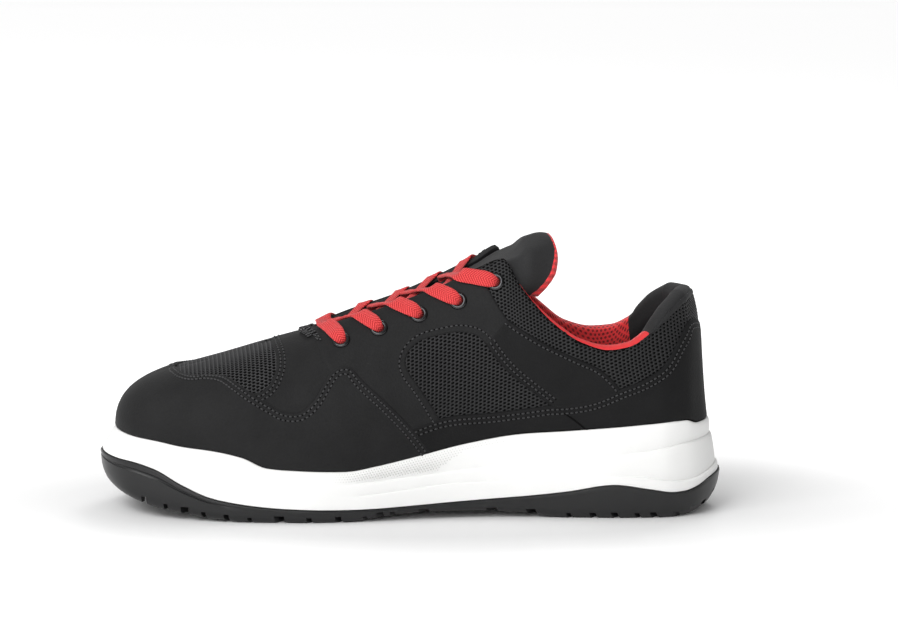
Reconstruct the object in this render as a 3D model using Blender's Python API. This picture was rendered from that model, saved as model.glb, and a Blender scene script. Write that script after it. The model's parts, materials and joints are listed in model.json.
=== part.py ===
# Low lace-up safety shoe for the right foot, made of separate solids.
# Lengths below are millimetres: s runs from the toe tip to the heel, y from the
# inner side (negative) to the outer side, z up from the floor.

import math

import bmesh
import bpy
import numpy as np
from mathutils import Matrix, Vector
from mathutils.bvhtree import BVHTree

MM = 0.001
LENGTH = 302.0
BEYOND = 90.0
GAP = 0.3
STATIONS = 28
END_CROWDING = 0.62

# Sole sizes
TREAD_INSET = 3.2
TREAD_INSET_END = 1.6
EDGE_INSET = 1.0
EDGE_RISE = 2.0
RIM_WIDTH = 2.4
RIM_DROP = 0.3
SEAT_INSET = 8.0
OUTSOLE_CORE = 5.0
CORE_BELOW_JOIN = 1.2
SIDE_INSET = 0.9
SIDE_FLARE = 1.3
STEP_RISE = 0.6
LIP_ROUND = 0.4
LIP_ROUND_FROM = 0.96
LIP_THICK = 1.5
LIP_INSET_SIDE = 3.0
LIP_INSET_END = 6.6
SIDE_STEP = 0.7
INSOLE_THICK = 4.0
INSOLE_STATIONS = 20
GROOVE_SWEEP = 9.0
GROOVE_BELOW = 4.0

# Upper sizes
WALL = 2.4
COLLAR_PAD = 5.6
PAD_FROM = 199.0
PAD_BLEND = 20.0
OVERLAY_THICK = 1.0
SEAM_SLIT = 0.4
SECTION_ROWS = 8
TONGUE_THICK = 5.0
TONGUE_CLEARANCE = 1.6
TONGUE_FROM = 86.0
TONGUE_UNTIL = 192.0
TONGUE_FIRST_ROW = 6
TONGUE_CROWN = 0.34
TONGUE_COLUMNS = 9

# Eyelets and lace
EYELET_HOLE_R = 2.3
EYELET_BARREL_R = 2.75
EYELET_FLANGE_R = 4.3
EYELET_CUT_R = 3.1
EYELET_LIFT = 0.7
EYELET_FOOT = -2.3
EYELET_ROUND = 0.7
EYELET_CROWN = 0.8
EYELET_DISH = 0.2
EYELET_CUT = (-4.6, 4.0)
EYELET_SIDES = 8
LACE_WIDTH = 7.6
LACE_THICK = 1.4
LACE_CLEARANCE = 1.0
LACE_DIVE = (9.5, 3.0, 3.0, 3.0)
LACE_SHORT = 6.2
LACE_BAR_CREST = 106.5
LACE_BAR_PAST = 2.5
LACE_STEPS = 7


def table(names, *rows):
    """Columns by name, from a line of column names and one row for each place."""
    return dict(zip(names.split(), zip(*rows)))


# Plan outline of the sole where it is widest: inner and outer edge
SOLE_PLAN = table(
    "s inner outer",
    (0, -8, -8),
    (4, -24, 8),
    (12, -34, 20),
    (25, -41, 31),
    (45, -46.5, 41),
    (70, -49.5, 49),
    (95, -50, 53),
    (120, -47.5, 53),
    (145, -42.5, 50),
    (170, -38, 46.5),
    (195, -36, 43.5),
    (220, -36.5, 41.5),
    (245, -37.5, 40),
    (268, -36, 37.5),
    (284, -30, 31),
    (295, -19.5, 20),
    (300, -10.5, 10.5),
    (LENGTH, 0, 0),
)

# Side view of the sole: tread, join of outsole and midsole, top lip, foot bed
SOLE_SIDE = table(
    "s tread join lip bed",
    (0, 16.4, 28, 42, 28),
    (6, 12.4, 27.2, 41, 27.2),
    (14, 9, 26.6, 38.6, 25.4),
    (25, 5.8, 24, 37, 23),
    (38, 3.5, 17.2, 35, 20.8),
    (52, 1.6, 11.4, 33.6, 19.2),
    (66, 0.3, 8.8, 30.8, 18),
    (78, 0, 7.4, 25.8, 17.2),
    (90, 0, 6.6, 24.8, 17),
    (115, 0, 6, 24, 17),
    (130, 1.2, 6.2, 26.2, 18.4),
    (150, 2.6, 7.1, 30.4, 21.6),
    (175, 2.6, 8.6, 36.2, 26),
    (200, 1.8, 10.4, 40.4, 30),
    (222, 0, 12.9, 42, 32.2),
    (245, 0, 16.4, 44, 34),
    (262, 0, 14.2, 45.5, 34.6),
    (275, 0, 12.4, 46.4, 35),
    (280, 0.4, 12.6, 46.4, 35.2),
    (287, 1.8, 14.4, 44.2, 35.6),
    (294, 4.4, 17.4, 44.4, 36),
    (LENGTH, 10.4, 23.5, 45, 36),
)

# The two long steps in the midsole's side: their heights, and their depth as a share
SIDE_LINES = table(
    "s lower upper depth",
    (0, 33, 37, 0),
    (70, 15.5, 22.5, 0),
    (110, 12, 17.8, 1),
    (165, 14.4, 21.8, 1),
    (200, 16, 25, 1),
    (235, 18.4, 28.6, 1),
    (262, 19.4, 31.6, 1),
    (282, 20.4, 34.4, 1),
    (LENGTH, 27.5, 38.4, 1),
)

# Upper: one row for each key section. base is where the section leaves the sole,
# top_* is where it ends, on the ridge, the throat edge or the collar edge.
# lean and slope are degrees; reach values are the section's Bezier handles.
UPPER_SECTIONS = table(
    "base top_s top_z half_gap drop lean low_reach slope top_reach",
    (0, 50, 69.8, 0, 0, 2, 17, 13, 32),
    (8, 53, 71, 0, 0, 3, 18, 11, 31),
    (24, 62, 74, 0, 0, 5, 21, 8, 28),
    (46, 74, 78, 0, 0, 6, 24, 4, 25),
    (70, 88, 82.6, 0, 0, 6, 26, 0, 24),
    (92, 101, 86.8, 0, 0, 6, 28, 0, 24),
    (104, 107, 88.8, 7, 0, 6, 28, 14, 20),
    (118, 119, 93, 11.4, 0, 5, 29, 26, 20),
    (140, 141, 100, 13.2, 0, 3, 30, 36, 22),
    (162, 161, 107.4, 14.4, -1.5, 2, 30, 42, 23),
    (181, 178, 114.2, 15.8, -3.5, 2, 30, 46, 25),
    (194, 190, 119.6, 18.5, -4, 2, 29, 52, 26),
    (203, 197, 111.5, 24.5, -2, 2, 26, 66, 26),
    (212, 205, 102.6, 28.6, 0.6, 3, 24, 74, 24),
    (222, 214, 93.8, 31.2, 1.6, 3, 22, 80, 20),
    (234, 227, 85.3, 32.6, 3.2, 4, 19, 84, 16),
    (246, 240, 81.6, 32.6, 3.4, 4, 17, 86, 14),
    (257, 251, 83.2, 31.6, 2.6, 4, 17, 86, 15),
    (267, 260, 88.6, 29, 1.2, 3, 18, 85, 17),
    (278, 270, 98.5, 23.5, 0, 2, 20, 82, 19),
    (290, 280.5, 104.6, 14, 0, 0, 22, 80, 18),
    (LENGTH, 286.5, 105.6, 0, 0, 0, 22, 80, 17),
)

# Cross grooves of the tread, chevrons that open towards the heel
GROOVES = table(
    "s width depth",
    (24, 2.4, 2),
    (34, 2.4, 2),
    (44, 3.6, 2.6),
    (53, 2.4, 2),
    (64, 2.4, 2),
    (75, 2.4, 2),
    (88, 3.6, 2.8),
    (102, 2.4, 2.2),
    (116, 2.4, 2.2),
    (130, 3.6, 2.6),
    (215, 3.2, 2.6),
    (227, 2.4, 2.2),
    (239, 2.4, 2.2),
    (251, 3.2, 2.6),
    (262, 2.4, 2.2),
    (273, 2.4, 2.2),
)

# Seams of the overlays in side view, (s, z) from front to back
SEAMS = {
    "guard_front": [(34.2, 66.6), (38.6, 65.8), (48.8, 66.2), (58.1, 65.2), (67.4, 60.4), (76.8, 53.9)],
    "guard_dip": [(76.8, 53.9), (86.2, 52), (93.3, 52.2), (98.9, 56.3), (104.5, 64.4), (108, 69.2)],
    "guard_rear": [(108, 69.2), (112.3, 71.9), (117, 72.1), (121.6, 67.6), (136, 54.7), (146.8, 43.6)],
    "guard_end": [(146.8, 43.6), (154.8, 33.5)],
    "mesh_rear": [(76.8, 53.9), (80, 60.6), (84, 65.7), (85.6, 74), (84.4, 79), (81.5, 81)],
    "eyestay_front": [(108, 69.2), (104.4, 75.6), (102.3, 80.6), (99.6, 84.6)],
    "window_left": [(159.8, 48), (149.8, 63.4), (144.4, 70.9), (143.2, 74.6), (144.6, 79.4), (148.3, 83.3)],
    "window_top": [(148.3, 83.3), (160.2, 87.5), (170.6, 89), (177, 87.6), (181.6, 83.6)],
    "window_right": [(181.6, 83.6), (190.9, 71.9), (202.7, 62.3), (213, 54.6)],
    "strap_front": [(181.6, 83.6), (191.4, 95.8)],
    "eyestay_rear": [(191.4, 95.8), (186.2, 103.4), (182.2, 110), (177.4, 115)],
    "strap_rear": [(191.4, 95.8), (209.9, 84.4), (225.5, 77.4), (236.7, 72.1), (246.3, 62.8)],
    "band_top": [(146.8, 43.6), (159.8, 48), (189.2, 51), (213, 54.6)],
    "band_end": [(213, 54.6), (219.4, 51.2), (232, 41.6)],
    "counter_front": [(213, 54.6), (222.6, 55.2), (232.1, 57), (246.3, 62.8)],
    "counter_top": [(246.3, 62.8), (258.5, 67.5), (266.5, 72.2), (274.9, 84), (280.8, 90), (287.2, 90.4)],
}

# Eyelets, the same on both sides: place in side view
EYELETS = table(
    "s z",
    (114.1, 84.6),
    (131.1, 90.4),
    (151.5, 98),
    (170.4, 105),
    (187.6, 112.4),
)

# Free end of the tongue past the throat: its crown in side view, share of width, share of thickness
TONGUE_END = table(
    "s z width thick",
    (195.5, 125, 0.89, 1),
    (200.5, 127.8, 0.8, 1),
    (205.5, 130, 0.73, 1),
    (209.5, 131, 0.68, 0.9),
    (212, 130.2, 0.62, 0.5),
)
TONGUE_SIDE_RISE = 0.3

# Sideways place of the ridge: the instep lies towards the inner side
RIDGE_Y = table(
    "s y",
    (40, -6),
    (100, -5),
    (150, -4),
    (200, -3),
    (260, -0.5),
    (290, 0),
)


def slopes(x, y):
    step = np.diff(x)
    rise = np.diff(y) / step
    d = np.zeros(len(x))
    same = rise[:-1] * rise[1:] > 0
    w1 = 2 * step[1:] + step[:-1]
    w2 = step[1:] + 2 * step[:-1]
    safe = np.where(same, rise[:-1], 1), np.where(same, rise[1:], 1)
    d[1:-1] = np.where(same, (w1 + w2) / (w1 / safe[0] + w2 / safe[1]), 0)
    d[0], d[-1] = rise[0], rise[-1]
    return d


def column(source, name, key="s", warp=lambda x: x):
    """A smooth function through one column of a table, with no overshoot between rows."""
    x = np.array([warp(v) for v in source[key]], float)
    y = np.array(source[name], float)
    d = slopes(x, y)

    def at(value):
        v = min(max(warp(value), x[0]), x[-1])
        i = min(max(int(np.searchsorted(x, v)) - 1, 0), len(x) - 2)
        h = x[i + 1] - x[i]
        t = (v - x[i]) / h
        return float(
            (2 * t**3 - 3 * t**2 + 1) * y[i]
            + (t**3 - 2 * t**2 + t) * h * d[i]
            + (3 * t**2 - 2 * t**3) * y[i + 1]
            + (t**3 - t**2) * h * d[i + 1]
        )

    return at


def turn(s):
    """The angle that runs 0 to pi along the shoe, so that round ends are smooth in it."""
    return math.acos(1 - 2 * min(max(s / LENGTH, 0), 1))


edge_inner = column(SOLE_PLAN, "inner", warp=turn)
edge_outer = column(SOLE_PLAN, "outer", warp=turn)
tread_z = column(SOLE_SIDE, "tread")
join_z = column(SOLE_SIDE, "join")
lip_z = column(SOLE_SIDE, "lip")
bed_z = column(SOLE_SIDE, "bed")
line_low = column(SIDE_LINES, "lower")
line_high = column(SIDE_LINES, "upper")
line_depth = column(SIDE_LINES, "depth")
ridge_y = column(RIDGE_Y, "y")
section = {
    name: column(UPPER_SECTIONS, name, "base", turn) for name in UPPER_SECTIONS if name != "base"
}


def station_list(count=STATIONS):
    """Places along the shoe from toe to heel, closer together at both ends."""
    share = np.arange(count + 1) / count
    crowded = (1 - np.cos(math.pi * share)) / 2
    return LENGTH * ((1 - END_CROWDING) * share + END_CROWDING * crowded)


def edge_point(s, side):
    """Point and inward direction, in plan, of the widest outline. side is -1 inner, 1 outer."""
    edge = edge_inner if side < 0 else edge_outer
    angle = turn(s)
    if angle < 1e-6:
        return np.array([0.0, edge(0)]), np.array([1.0, 0.0])
    if angle > math.pi - 1e-6:
        return np.array([LENGTH, edge(LENGTH)]), np.array([-1.0, 0.0])
    span = 0.02
    a0, a1 = max(angle - span, 0), min(angle + span, math.pi)
    s0, s1 = (LENGTH * (1 - math.cos(a)) / 2 for a in (a0, a1))
    along = np.array([s1 - s0, edge(s1) - edge(s0)])
    along /= np.linalg.norm(along)
    inward = np.array([along[1], -along[0]]) * side
    return np.array([s, edge(s)]), inward


def end_share(inward):
    """1 at the toe and heel tips and 0 along the sides."""
    return abs(inward[0]) ** 1.5


def lip_inset(inward):
    return LIP_INSET_SIDE + (LIP_INSET_END - LIP_INSET_SIDE) * end_share(inward)


def around(stations):
    """(s, side) once round the outline: toe tip, inner side, heel tip, outer side."""
    inner = [(s, -1) for s in stations]
    outer = [(s, 1) for s in stations[-2:0:-1]]
    return inner + outer


def ring(stations, inset, height, clear=0.0):
    """One closed loop: inset(s, inward) from the widest outline, height(s at that point, inward).
    clear moves the finished loop inward and up, to sit inside another piece."""
    points = []
    for s, side in around(stations):
        place, inward = edge_point(s, side)
        place = place + inward * inset(s, inward)
        z = height(place[0], inward) + clear
        place = place + inward * clear
        points.append((place[0], place[1], z))
    return points


def add_loop(bm, points):
    return [bm.verts.new(Vector(p) * MM) for p in points]


def bridge(bm, low, high, rising=True):
    """Triangles between two loops of equal length. rising picks which way the diagonals run,
    so that two pieces that face each other can be cut the same way."""
    count = len(low)
    for i in range(count):
        k = (i + 1) % count
        if rising:
            bm.faces.new((low[i], low[k], high[k]))
            bm.faces.new((low[i], high[k], high[i]))
        else:
            bm.faces.new((low[i], low[k], high[i]))
            bm.faces.new((low[k], high[k], high[i]))


def fill_across(bm, loop, count, height, upward, columns=2):
    """Closes a loop with rows from its inner to its outer side; height gives z inside it."""
    rows = [[loop[0]]]
    for i in range(1, count):
        first, last = loop[i], loop[len(loop) - i]
        row = [first]
        for c in range(1, columns + 1):
            p = first.co.lerp(last.co, c / (columns + 1)) / MM
            row.append(bm.verts.new(Vector((p.x, p.y, height(p.x))) * MM))
        rows.append(row + [last])
    rows.append([loop[count]])
    for a, b in zip(rows, rows[1:]):
        if len(a) == 1 or len(b) == 1:
            tip, row = (a[0], b) if len(a) == 1 else (b[0], a)
            for p, q in zip(row, row[1:]):
                face = (tip, p, q) if (len(a) == 1) == upward else (tip, q, p)
                bm.faces.new(face)
            continue
        for c in range(len(a) - 1):
            face = (a[c], b[c], b[c + 1], a[c + 1])
            bm.faces.new(face if not upward else face[::-1])


def finish_object(name, bm, material, smooth_angle=None):
    bmesh.ops.recalc_face_normals(bm, faces=bm.faces)
    mesh = bpy.data.meshes.new(name)
    bm.to_mesh(mesh)
    bm.free()
    obj = bpy.data.objects.new(name, mesh)
    bpy.context.scene.collection.objects.link(obj)
    mesh.materials.append(material)
    if smooth_angle:
        mesh.shade_smooth()
        mesh.set_sharp_from_angle(angle=math.radians(smooth_angle))
    obj.parent = bpy.data.objects["shoe"]
    return obj


def material(name, colour, roughness, metallic=0.0):
    made = bpy.data.materials.new(name)
    made.use_nodes = True
    shader = made.node_tree.nodes["Principled BSDF"]
    shader.inputs["Base Color"].default_value = (*colour, 1)
    shader.inputs["Roughness"].default_value = roughness
    shader.inputs["Metallic"].default_value = metallic
    return made


# Sole


def core_z(s):
    """Top of the outsole inside its rim."""
    return min(tread_z(s) + OUTSOLE_CORE, join_z(s) - CORE_BELOW_JOIN)


def rim_z(s, inward):
    """Inner edge of the outsole's rim."""
    return join_z(s) - RIM_DROP


def tread_inset(s, inward):
    return TREAD_INSET + TREAD_INSET_END * end_share(inward)


def make_outsole(finish):
    stations = station_list()
    bm = bmesh.new()
    tread = add_loop(bm, ring(stations, tread_inset, lambda s, n: tread_z(s)))
    edge = add_loop(bm, ring(stations, lambda s, n: EDGE_INSET, lambda s, n: tread_z(s) + EDGE_RISE))
    top = add_loop(bm, ring(stations, lambda s, n: 0.0, lambda s, n: join_z(s)))
    rim = add_loop(bm, ring(stations, lambda s, n: RIM_WIDTH, rim_z))
    seat = add_loop(bm, ring(stations, lambda s, n: SEAT_INSET, lambda s, n: core_z(s)))
    fill_across(bm, tread, STATIONS, tread_z, upward=False)
    for low, high in ((tread, edge), (edge, top), (top, rim), (rim, seat)):
        bridge(bm, low, high)
    fill_across(bm, seat, STATIONS, core_z, upward=True)
    return finish_object("outsole", bm, finish, 40)


def midsole_wall(share):
    """Inset of the midsole's side at a share of its height, from join to lip."""

    def inset(s, inward):
        return SIDE_INSET + (lip_inset(inward) - SIDE_INSET) * max(share, 0) ** SIDE_FLARE

    return inset


def make_midsole(finish):
    stations = station_list()
    bm = bmesh.new()

    def share(line, rise):
        """Share of the side's height at which one of the long steps runs."""

        def at(s):
            return (line(s) + rise - join_z(s)) / (lip_z(s) - join_z(s))

        return at

    def level(share_at, extra):
        def height(s, n):
            return join_z(s) + GAP + (lip_z(s) - join_z(s) - GAP) * share_at(s)

        def inset(s, n):
            return midsole_wall(share_at(s))(s, n) + extra * SIDE_STEP * line_depth(s)

        return add_loop(bm, ring(stations, inset, height))

    levels = [
        level(lambda s: 0.0, 0),
        level(share(line_low, 0), 0),
        level(share(line_low, STEP_RISE), 1),
        level(share(line_high, 0), 0.6),
        level(share(line_high, STEP_RISE), 1.5),
        level(lambda s: LIP_ROUND_FROM, 0),
    ]
    lip_out = add_loop(bm, ring(stations, lambda s, n: lip_inset(n) + LIP_ROUND, lambda s, n: lip_z(s)))
    lip_in = add_loop(bm, ring(stations, lambda s, n: lip_inset(n) + LIP_THICK, lambda s, n: lip_z(s)))
    dish = add_loop(bm, ring(stations, lambda s, n: lip_inset(n) + LIP_THICK, lambda s, n: bed_z(s)))
    under_rim = add_loop(bm, ring(stations, lambda s, n: RIM_WIDTH, rim_z, clear=GAP))
    under = add_loop(bm, ring(stations, lambda s, n: SEAT_INSET, lambda s, n: core_z(s), clear=GAP))
    fill_across(bm, under, STATIONS, lambda s: core_z(s) + GAP, upward=False)
    bridge(bm, under, under_rim, rising=False)
    stack = [under_rim, *levels, lip_out, lip_in, dish]
    for low, high in zip(stack, stack[1:]):
        bridge(bm, low, high)
    fill_across(bm, dish, STATIONS, bed_z, upward=True)
    return finish_object("midsole", bm, finish, 40)


def upper_inset(inward):
    """Inset of the upper's outer face at the lip, clear of it."""
    return lip_inset(inward) + LIP_THICK + GAP


def make_insole(finish):
    stations = station_list(INSOLE_STATIONS)
    bm = bmesh.new()

    def inset(s, n):
        return upper_inset(n) + WALL + 2 * GAP

    low = add_loop(bm, ring(stations, inset, lambda s, n: bed_z(s) + GAP))
    high = add_loop(bm, ring(stations, inset, lambda s, n: bed_z(s) + GAP + INSOLE_THICK))
    fill_across(bm, low, INSOLE_STATIONS, lambda s: bed_z(s) + GAP, upward=False, columns=2)
    bridge(bm, low, high)
    fill_across(bm, high, INSOLE_STATIONS, lambda s: bed_z(s) + GAP + INSOLE_THICK, upward=True, columns=2)
    return finish_object("insole", bm, finish, 40)


# Upper


def upper_section(s, side, rows=SECTION_ROWS):
    """Points of one section of the upper's outer face, from the foot bed to its top edge."""
    place, inward = edge_point(s, side)
    foot = place + inward * upper_inset(inward)
    lip = lip_z(foot[0])
    top_s = section["top_s"](s)
    gap = section["half_gap"](s)
    top = np.array([
        top_s,
        ridge_y(top_s) + side * gap,
        section["top_z"](s) - (section["drop"](s) if side > 0 else 0),
    ])
    start = np.array([foot[0], foot[1], lip + GAP + 0.1])
    into = np.array([inward[0], inward[1], 0])
    lean, slope = (math.radians(section[name](s)) for name in ("lean", "slope"))
    up = np.array([0, 0, 1.0])
    low = start + section["low_reach"](s) * (up * math.cos(lean) - into * math.sin(lean))
    high = top - section["top_reach"](s) * (into * math.cos(slope) + up * math.sin(slope))
    points = [np.array([foot[0], foot[1], bed_z(foot[0]) + GAP])]
    for t in np.linspace(0, 1, rows):
        points.append(
            (1 - t) ** 3 * start + 3 * (1 - t) ** 2 * t * low + 3 * (1 - t) * t**2 * high + t**3 * top
        )
    return points


def upper_grid():
    """The upper's outer face: vertices, quads, and its two open edges as vertex loops."""
    stations = station_list()
    bm = bmesh.new()
    columns = {}
    for side in (-1, 1):
        for i, s in enumerate(stations):
            if side > 0 and i in (0, STATIONS):
                columns[side, i] = columns[-1, i]
                continue
            points = upper_section(s, side)
            made = [bm.verts.new(Vector(p) * MM) for p in points]
            if side > 0 and section["half_gap"](s) < 0.01:
                bm.verts.remove(made[-1])
                made[-1] = columns[-1, i][-1]
            columns[side, i] = made
    for side in (-1, 1):
        for i in range(STATIONS):
            a, b = columns[side, i], columns[side, i + 1]
            for j in range(len(a) - 1):
                for face in ((a[j], b[j], a[j + 1]), (b[j], b[j + 1], a[j + 1])):
                    bm.faces.new(face if side < 0 else face[::-1])
    bm.verts.index_update()
    bm.normal_update()
    return bm, columns, stations


def collar_pad(s, row):
    """Extra wall at a section and row: foam round the collar, thickest near its edge."""
    if row <= 1:
        return 0.0
    along = min(max((s - PAD_FROM) / PAD_BLEND, 0), 1)
    up = min(max((row / SECTION_ROWS - 0.5) / 0.4, 0), 1)
    return COLLAR_PAD * along * along * (3 - 2 * along) * up * up * (3 - 2 * up)


def shell(name, finish, outer_offset, inner_offset, first_row=0, rim_rise=0.0):
    """A closed solid between two offsets of the upper's face. inner_offset(s, row) may vary."""
    base, columns, stations = upper_grid()
    bm = bmesh.new()
    layers = []
    for offset in (lambda s, r: outer_offset, inner_offset):
        made = {}
        for (side, i), verts in columns.items():
            for row, v in enumerate(verts):
                if row >= first_row and v.index not in made:
                    made[v.index] = bm.verts.new(v.co + v.normal * offset(stations[i], row) * MM)
        layers.append(made)
    outer, inner = layers
    for face in base.faces:
        ids = [v.index for v in face.verts]
        if all(k in outer for k in ids):
            bm.faces.new([outer[k] for k in ids])
            bm.faces.new([inner[k] for k in reversed(ids)])
    edges = [e for e in bm.edges if e.is_boundary and e.verts[0] in set(outer.values())]
    back = {v: k for k, v in outer.items()}
    tops = {verts[-1].index for verts in columns.values()}
    crown = {}
    for v in {v for e in edges for v in e.verts}:
        k = back[v]
        other = inner[k]
        if rim_rise and k in tops:
            lift = (v.co - other.co).length * rim_rise
            crown[v] = bm.verts.new((v.co + other.co) / 2 + Vector((0, 0, lift)))
    for e in edges:
        loop = e.link_loops[0]
        a, b = loop.vert, loop.link_loop_next.vert
        ia, ib = inner[back[a]], inner[back[b]]
        if a in crown and b in crown:
            bm.faces.new((b, a, crown[a], crown[b]))
            bm.faces.new((crown[b], crown[a], ia, ib))
        elif a in crown or b in crown:
            c = crown.get(a) or crown.get(b)
            ring_of = (b, a, c, ia, ib) if a in crown else (b, a, ia, ib, c)
            bm.faces.new(ring_of)
        else:
            bm.faces.new((b, a, ia, ib))
    base.free()
    return finish_object(name, bm, finish, 50)


def make_upper(finish):
    def wall(s, row):
        return -(WALL + collar_pad(s, row))

    return shell("upper", finish, 0.0, wall, rim_rise=0.3)


def prism(name, outline, low, high):
    """A cutter: a side-view outline pushed along Y between low and high."""
    bm = bmesh.new()
    near = [bm.verts.new(Vector((p[0], low, p[1])) * MM) for p in outline]
    far = [bm.verts.new(Vector((p[0], high, p[1])) * MM) for p in outline]
    bm.faces.new(near)
    bm.faces.new(far[::-1])
    for i in range(len(near)):
        k = (i + 1) % len(near)
        bm.faces.new((near[k], near[i], far[i], far[k]))
    return cutter(name, bm)


def cutter(name, bm):
    bmesh.ops.recalc_face_normals(bm, faces=bm.faces)
    mesh = bpy.data.meshes.new(name)
    bm.to_mesh(mesh)
    bm.free()
    obj = bpy.data.objects.new(name, mesh)
    bpy.context.scene.collection.objects.link(obj)
    obj.parent = bpy.data.objects["shoe"]
    obj.hide_render = True
    obj.display_type = "WIRE"
    return obj


def cut(obj, tool, operation):
    step = obj.modifiers.new(tool.name, "BOOLEAN")
    step.operation = operation
    step.solver = "EXACT"
    step.object = tool


def shrink(outline, distance):
    """The outline moved inward by a distance, corner by corner."""
    area = sum(a[0] * b[1] - b[0] * a[1] for a, b in zip(outline, outline[1:] + outline[:1]))
    turned = 1 if area > 0 else -1
    moved = []
    for i, p in enumerate(outline):
        before, after = outline[i - 1], outline[(i + 1) % len(outline)]
        a = np.array(p) - before
        b = np.array(after) - p
        a, b = a / np.linalg.norm(a), b / np.linalg.norm(b)
        na, nb = np.array([-a[1], a[0]]) * turned, np.array([-b[1], b[0]]) * turned
        middle = na + nb
        middle /= max(np.dot(middle, na), 0.5)
        moved.append(tuple(np.array(p) + middle * distance))
    return moved


def outline_of(*pieces):
    """A closed outline from seam names, '-name' for a seam walked backwards, and loose points."""
    points = []
    for piece in pieces:
        if isinstance(piece, tuple):
            run = [piece]
        elif piece.startswith("-"):
            run = SEAMS[piece[1:]][::-1]
        else:
            run = SEAMS[piece]
        points += [p for p in run if not points or math.dist(p, points[-1]) > 0.01]
    if math.dist(points[0], points[-1]) < 0.01:
        points.pop()
    return points


def make_overlay(name, finish, outline, side=0):
    """A panel on the upper: its face pushed out, kept inside an outline. side 0 runs over both."""
    obj = shell(name, finish, GAP + OVERLAY_THICK, lambda s, row: GAP, first_row=1)
    split = RIDGE_Y["y"][1]
    low = split + SEAM_SLIT / 2 if side > 0 else -BEYOND
    high = split - SEAM_SLIT / 2 if side < 0 else BEYOND
    cut(obj, prism(name + "_outline", shrink(outline, SEAM_SLIT / 2), low, high), "INTERSECT")
    return obj


def make_overlays(finish):
    made = [
        make_overlay(
            "toe_guard",
            finish,
            outline_of(
                (-5, 15), (-5, 80), (34.2, 80),
                "guard_front", "guard_dip", "guard_rear", "guard_end", (160, 15),
            ),
        ),
        make_overlay(
            "vamp_saddle",
            finish,
            outline_of("mesh_rear", (81.5, 100), (99.6, 100), "-eyestay_front", "-guard_dip"),
        ),
        make_overlay(
            "heel_counter",
            finish,
            outline_of("band_end", (232, 15), (320, 15), (320, 90.4), "-counter_top", "-counter_front"),
        ),
    ]
    for side, word in ((-1, "inner"), (1, "outer")):
        made.append(
            make_overlay(
                "eyestay_" + word,
                finish,
                outline_of(
                    "-eyestay_front", "guard_rear", (159.8, 48), "window_left", "window_top", "strap_front",
                    "eyestay_rear", (177.4, 140), (99.6, 140),
                ),
                side,
            )
        )
        made.append(
            make_overlay(
                "strap_" + word,
                finish,
                outline_of("-window_right", "strap_front", "strap_rear", "-counter_front"),
                side,
            )
        )
        made.append(
            make_overlay(
                "band_" + word,
                finish,
                outline_of("band_top", "band_end", (232, 15), (165, 15), "-guard_end"),
                side,
            )
        )
    return made


def make_grooves():
    """One cutter for all the cross grooves of the tread."""
    bm = bmesh.new()
    for s, width, depth in zip(*GROOVES.values()):
        front = [(s, -BEYOND), (s - GROOVE_SWEEP, 0), (s, BEYOND)]
        rim = [(a - width / 2, y) for a, y in front] + [(a + width / 2, y) for a, y in front[::-1]]
        low = [bm.verts.new(Vector((a, y, -GROOVE_BELOW)) * MM) for a, y in rim]
        high = [bm.verts.new(Vector((a, y, tread_z(a) + depth)) * MM) for a, y in rim]
        for i in range(len(rim)):
            k = (i + 1) % len(rim)
            bm.faces.new((low[i], low[k], high[k], high[i]))
        for loop in (low, high):
            bm.faces.new((loop[0], loop[1], loop[4], loop[5]))
            bm.faces.new((loop[1], loop[2], loop[3], loop[4]))
    return cutter("tread_grooves", bm)


# Tongue


def resample(points, count):
    points = np.array(points)
    length = np.concatenate([[0], np.cumsum(np.linalg.norm(np.diff(points, axis=0), axis=1))])
    at = np.linspace(0, length[-1], count)
    return np.stack([np.interp(at, length, points[:, k]) for k in range(3)], axis=1)


def tongue_rows():
    """Rows of the tongue's outer face, under the vamp first, each from inner to outer side."""
    base, columns, stations = upper_grid()
    rows = []
    for i, s in enumerate(stations):
        top_s = section["top_s"](s)
        if not TONGUE_FROM < top_s < TONGUE_UNTIL:
            continue
        halves = []
        for side in (-1, 1):
            half = []
            for row in range(TONGUE_FIRST_ROW, SECTION_ROWS + 1):
                v = columns[side, i][row]
                sink = WALL + collar_pad(s, row) + TONGUE_CLEARANCE
                half.append(np.array(v.co) / MM - np.array(v.normal) * sink)
            halves.append(half)
        inner, outer = halves[0], halves[1][::-1]
        gap = section["half_gap"](s)
        middle = []
        if gap > 1:
            for share in (0.25, 0.5, 0.75):
                p = inner[-1] + (outer[0] - inner[-1]) * share
                p[2] += TONGUE_CROWN * gap * 4 * share * (1 - share)
                middle.append(p)
        else:
            inner = inner[:-1]
        rows.append(resample(inner + middle + outer, TONGUE_COLUMNS))
    base.free()
    last = rows[-1]
    crown = last[np.argmax(last[:, 2])]
    low = last[:, 2].min()
    centre = last[:, 1].mean()
    share = TONGUE_SIDE_RISE + (1 - TONGUE_SIDE_RISE) * (last[:, 2] - low) / (crown[2] - low)
    for s, z, width in zip(*(TONGUE_END[name] for name in ("s", "z", "width"))):
        row = last.copy()
        row[:, 0] += s - crown[0]
        row[:, 1] = centre + (row[:, 1] - centre) * width
        row[:, 2] += (z - crown[2]) * share
        rows.append(row)
    return rows


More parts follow.
